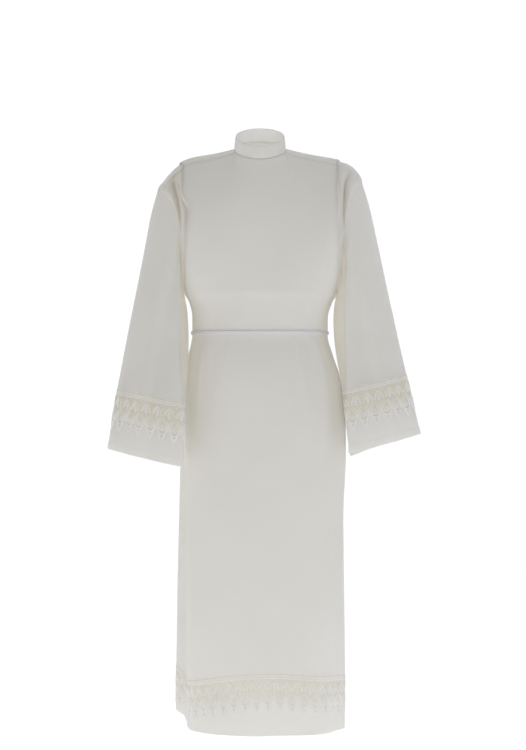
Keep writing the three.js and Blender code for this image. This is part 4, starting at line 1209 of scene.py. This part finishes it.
# What stands on the middle line of a drop, so it isn't drawn where a side seam runs there.
vein = soften([(half, 59), (half + 0.4, 66), (half, 72)])
drop_bud = soften([(half, 78), (half - 1.9, 74), (half, 68), (half + 1.9, 74), (half, 78)])
trefoil = soften([(half - 3.6, 17), (half - 2, 21), (half, 25.5), (half + 2, 21),
                  (half + 3.6, 17)], 3)
# tones past 0.5 mix in the tan of painted shade
ON_SEAM = [(vein, 1.4, 0.6, 0.6, 0.6), (drop_bud, 1.5, 0.9, WHITE, WHITE),
           (trefoil, 2.0, 1.0, 0.7, 0.7), (ring_line(half, 105.6, 1, 1), 1.5, 1.0, WHITE, WHITE),
           (ring_line(half, 19.4, 1.1, 1.1), 1.5, 1.0, WHITE, WHITE)]
print("lines in one repeat:", len(MOTIF), "with", sum(len(m[0]) for m in MOTIF), "places")

# %% Laying the lace on the cloth
NET_HEIGHT = 0.5  # the net lies this far outside the cloth
SECTION = ((-1, 0), (-0.55, 1), (0.55, 1), (1, 0))  # a cord's section: out, and up


def lay_cords(name, cloth, to_grid, lines, colour=1.0, relief=1.0):
    """Raised cords on a cloth. to_grid turns places on the band into rows and columns."""
    places, heights, faces, uvs, tones = [], [], [], [], []
    count = 0
    for middle, (line, wide, tall, first, last) in lines:
        along = np.gradient(line, axis=0)
        aside = unit(np.stack([-along[:, 1], along[:, 0]], axis=-1)) * wide / 2
        run = np.r_[0, np.cumsum(np.linalg.norm(np.diff(line, axis=0), axis=1))]
        taper = np.ones(len(line))
        if not np.allclose(line[0], line[-1]):
            taper[[0, -1]] = 0.35
        for out, up in SECTION:
            places.append(line + aside * out * taper[:, None] + [middle, 0])
            heights.append(NET_HEIGHT + tall * relief * up * taper - 0.35 * (1 - up))
        n = len(line)
        grid = count + np.arange(4)[:, None] * n + np.arange(n)
        quads = np.stack([grid[:-1, :-1], grid[:-1, 1:], grid[1:, 1:], grid[1:, :-1]], axis=-1)
        faces.append(quads.reshape(-1, 4))
        around = np.broadcast_to((np.arange(4) * wide / 3)[:, None], (4, n))
        uvs.append(np.stack([np.broadcast_to(run, (4, n)), around], axis=-1).reshape(-1, 2))
        tones.append(np.tile(lerp(first, last, run / run[-1]) * colour, 4))
        count += 4 * n
    places, heights = np.concatenate(places), np.concatenate(heights)
    faces, uvs = np.concatenate(faces), np.concatenate(uvs) * MM
    rows, columns = to_grid(places[:, 0], places[:, 1])
    points = cloth.place(rows, columns, heights)
    corner = points[faces]
    facing = np.cross(corner[:, 2] - corner[:, 0], corner[:, 3] - corner[:, 1])
    outward = cloth.place(rows, columns, heights + 1) - points
    if (facing * outward[faces[:, 0]]).sum() < 0:
        faces = faces[:, ::-1]
    made = add_mesh(name, points, faces, uvs[faces], LACE_THREAD)
    tone = made.data.attributes.new("thread_and_shade", "FLOAT", "POINT")
    tone.data.foreach_set("value", np.concatenate(tones))
    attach(made, "root")
    return made


def edge_depth(x):
    """How far down the net reaches, at a place along the band: it ends under the edge cords."""
    from_drop = half - np.abs((x + half) % REPEAT - half)
    return np.interp(from_drop, half - bottom[:, 0], bottom[:, 1])


bottom = np.vstack([point[::-1], [(4.6, 80.4)], bridge[1:]])


def lay_net(name, cloth, to_grid, start, end, facing, closed=False):
    """The net under the cords, a single thin layer."""
    x = np.arange(start, end + 0.01, 1.4)
    if closed:
        x = np.linspace(start, end, round((end - start) / 1.4), endpoint=False)
    share = np.linspace(0, 1, 14)[:, None]
    down = share * edge_depth(x)[None, :]
    across = np.broadcast_to(x, down.shape)
    rows, columns = to_grid(across.ravel(), down.ravel())
    points = cloth.place(rows, columns, np.full(len(rows), NET_HEIGHT - 0.15))
    points = points.reshape(*down.shape, 3)
    net = Cloth(points, closed=closed, facing=facing)
    made = add_cloth(name, net, LACE_NET)
    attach(made, "root")
    return made


# %% Lace round the hem
# Heights of the lace above the hem at the centre lines and at the wearer's left and right.
HEM_TOP = {"centre": 150, "left": 131, "right": 116}
HEM_POINT = {"centre": 59, "left": 31, "right": 15}
HEM_COLOUR, HEM_RELIEF = 0.6, 0.75  # the hem's lace is paler and flatter than the cuffs'
for panel, (cloth, _) in panels.items():
    flat_heights = np.r_[HEIGHTS, ARMPIT]
    row_count = len(flat_heights)

    def to_grid(x, down, cloth=cloth):
        across = x / half
        out = smooth(np.abs(across), 0, SIDE)
        side = np.where(across < 0, "right", "left")
        top, point = (
            lerp(level["centre"], np.where(side == "left", level["left"], level["right"]), out)
            for level in (HEM_TOP, HEM_POINT)
        )
        z = HEM + top + (point - top) * down / DRAWN
        rows = np.interp(z, flat_heights, np.arange(row_count))
        return rows, np.interp(across, FLAT, np.arange(len(FLAT)))

    ends = SIDE * half
    middles = np.arange(-10, 11) * REPEAT
    lines = [(middle, line) for middle in middles for line in MOTIF]
    lines += [(middle, line) for middle in middles[:-1] for line in ON_SEAM]
    cords = lay_cords(f"{panel}_hem_lace_cords", cloth, to_grid, lines, HEM_COLOUR, HEM_RELIEF)
    net = lay_net(f"{panel}_hem_lace_net", cloth, to_grid, -ends, ends, -cloth.facing)
    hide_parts(f"{panel}_hem_lace")
    print(panel, "hem lace:", len(cords.data.polygons), "faces in its cords")

# %% Lace round the cuffs
CUFF_LACE_TOP, CUFF_LACE_TALL, CUFF_REPEAT, ROW_LENGTH = 7, 97.5, 29.5, 75
CUFF_COUNTS = {}  # whole repeats round each cuff
for side, cloth in sleeves.items():
    ring = cloth.points[np.searchsorted(SLEEVE_AT, 7.7)]
    steps = np.linalg.norm(np.diff(np.vstack([ring, ring[:1]]), axis=0), axis=1)
    girth = np.r_[0, np.cumsum(steps)]
    CUFF_COUNTS[side] = count = round(girth[-1] / CUFF_REPEAT)

    def to_grid(x, down, girth=girth, count=count):
        length = (x / REPEAT / count * girth[-1]) % girth[-1]
        row = CUFF_LACE_TOP + down / DRAWN * CUFF_LACE_TALL / ROW_LENGTH
        rows = np.interp(row, SLEEVE_AT, np.arange(len(SLEEVE_AT)))
        return rows, np.interp(length, girth, np.arange(len(girth)))

    lines = [(n * REPEAT, line) for n in range(count) for line in MOTIF + ON_SEAM]
    cords = lay_cords(f"{side}_cuff_lace_cords", cloth, to_grid, lines)
    net = lay_net(f"{side}_cuff_lace_net", cloth, to_grid, 0, count * REPEAT, cloth.facing, True)
    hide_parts(f"{side}_cuff_lace")
    print(side, "cuff lace:", count, "repeats")

# %% [markdown]
# ## The waist cord
# A flat braid is tied round the waist and presses the cloth in. Three flat strands cross in turn
# along it, which shows as slanted lobes that meet in the middle. The lobes are real relief:
# the height over the cord's oval section rises and falls along it, and the two halves
# slant opposite ways. The grooves between the lobes are also coloured darker: painted shade.

# %% Cord
CORD = {"tall": 7.5, "thick": 3, "standoff": 0.5, "lobe": 6.2}


def cord_path():
    """The line round the waist in even steps, with the normals of the cloth."""
    loops = []
    for panel in ("front", "back"):
        cloth, _ = panels[panel]
        row = np.interp(WAIST, np.r_[HEIGHTS, ARMPIT], np.arange(len(HEIGHTS) + 1))
        flat_columns = np.flatnonzero((np.abs(np.abs(FLAT) - 17.15) > 0.5))
        columns = flat_columns if panel == "front" else flat_columns[::-1][1:-1]
        rows = np.full(len(columns), row)
        base = cloth.place(rows, columns.astype(float), np.zeros(len(columns)))
        loops.append((base, cloth.place(rows, columns.astype(float), np.ones(len(columns))) - base))
    points = np.concatenate([loops[0][0], loops[1][0]])
    normals = np.concatenate([loops[0][1], loops[1][1]])
    closed = np.vstack([points, points[:1]])
    run = np.r_[0, np.cumsum(np.linalg.norm(np.diff(closed, axis=0), axis=1))]
    at = np.linspace(0, run[-1], round(run[-1] / 0.9), endpoint=False)
    resampled = [np.stack([np.interp(at, run, np.r_[v[:, i], v[0, i]]) for i in range(3)], axis=-1)
                 for v in (points, normals)]
    for _ in range(30):  # the braid bridges the small folds of the cloth
        resampled = [(np.roll(v, 1, 0) + 2 * v + np.roll(v, -1, 0)) / 4 for v in resampled]
    return at, resampled[0], unit(resampled[1]), run[-1]


along, centre_line, outwards, cord_length = cord_path()
upwards = np.array([0, 0, 1.0])
turn = np.linspace(0, 2 * np.pi, 24, endpoint=False)
lobes = round(cord_length / CORD["lobe"])
phase = along / cord_length * lobes
ring_points_list, deep = [], []
for a in turn:
    height = math.sin(a)
    slanted = phase + 0.5 * abs(height) + (0.5 if height < 0 else 0)
    groove = np.abs(np.sin(np.pi * slanted)) ** 0.6
    middle = smooth(abs(height), 0.0, 0.22)
    relief = 0.6 + 0.4 * groove * (0.4 + 0.6 * middle)
    out = CORD["standoff"] + CORD["thick"] / 2 + CORD["thick"] / 2 * math.copysign(
        abs(math.cos(a)) ** 0.7, math.cos(a)) * np.where(math.cos(a) > 0, relief, 1)
    up = CORD["tall"] / 2 * math.copysign(abs(height) ** 0.8, height) * (0.9 + 0.1 * groove)
    sway = 0.4 * np.sin(along / 37) + 0.3 * np.sin(along / 91 + 1)
    ring_points_list.append(centre_line + outwards * out[:, None] + upwards * (up + sway)[:, None])
    # how deep in a groove between lobes each point lies, which darkens the braid there as painted
    # shade
    deep.append(1 - groove)
cord_cloth = Cloth(np.array(ring_points_list).transpose(1, 0, 2), closed=True)
cord_points = np.concatenate([cord_cloth.points, cord_cloth.points[:1]])
faces, places = squares(*cord_points.shape[:2], True)
faces = faces % (len(cord_cloth.points) * len(turn))
run_uv = np.arange(len(cord_points))[:, None] * cord_length / len(cord_cloth.points) * MM
uv = np.stack(np.broadcast_arrays(run_uv, np.arange(len(turn) + 1) * 0.8 * MM), axis=-1)
cord = add_mesh("waist_cord_braid", cord_cloth.points, faces, uv.reshape(-1, 2)[places], CORD_BRAID)
tone = cord.data.attributes.new("deep", "FLOAT", "POINT")
tone.data.foreach_set("value", np.array(deep).T.ravel())
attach(cord, "root")
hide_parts("waist_cord")
print("cord:", round(cord_length), "mm round the waist,", lobes, "lobes")

# %% [markdown]
# ## The area of a cut piece
# `between` gives the area of a flat piece from its widths at some heights. One number does
# come from the hung cloth: how many whole repeats of lace fit round each cuff. Folds, swells
# and sags are in the hung cloth only.


def between(heights, widths):
    """The area of a flat piece, from its widths at some heights."""
    return float((np.diff(heights) * (widths[1:] + widths[:-1]) / 2).sum())
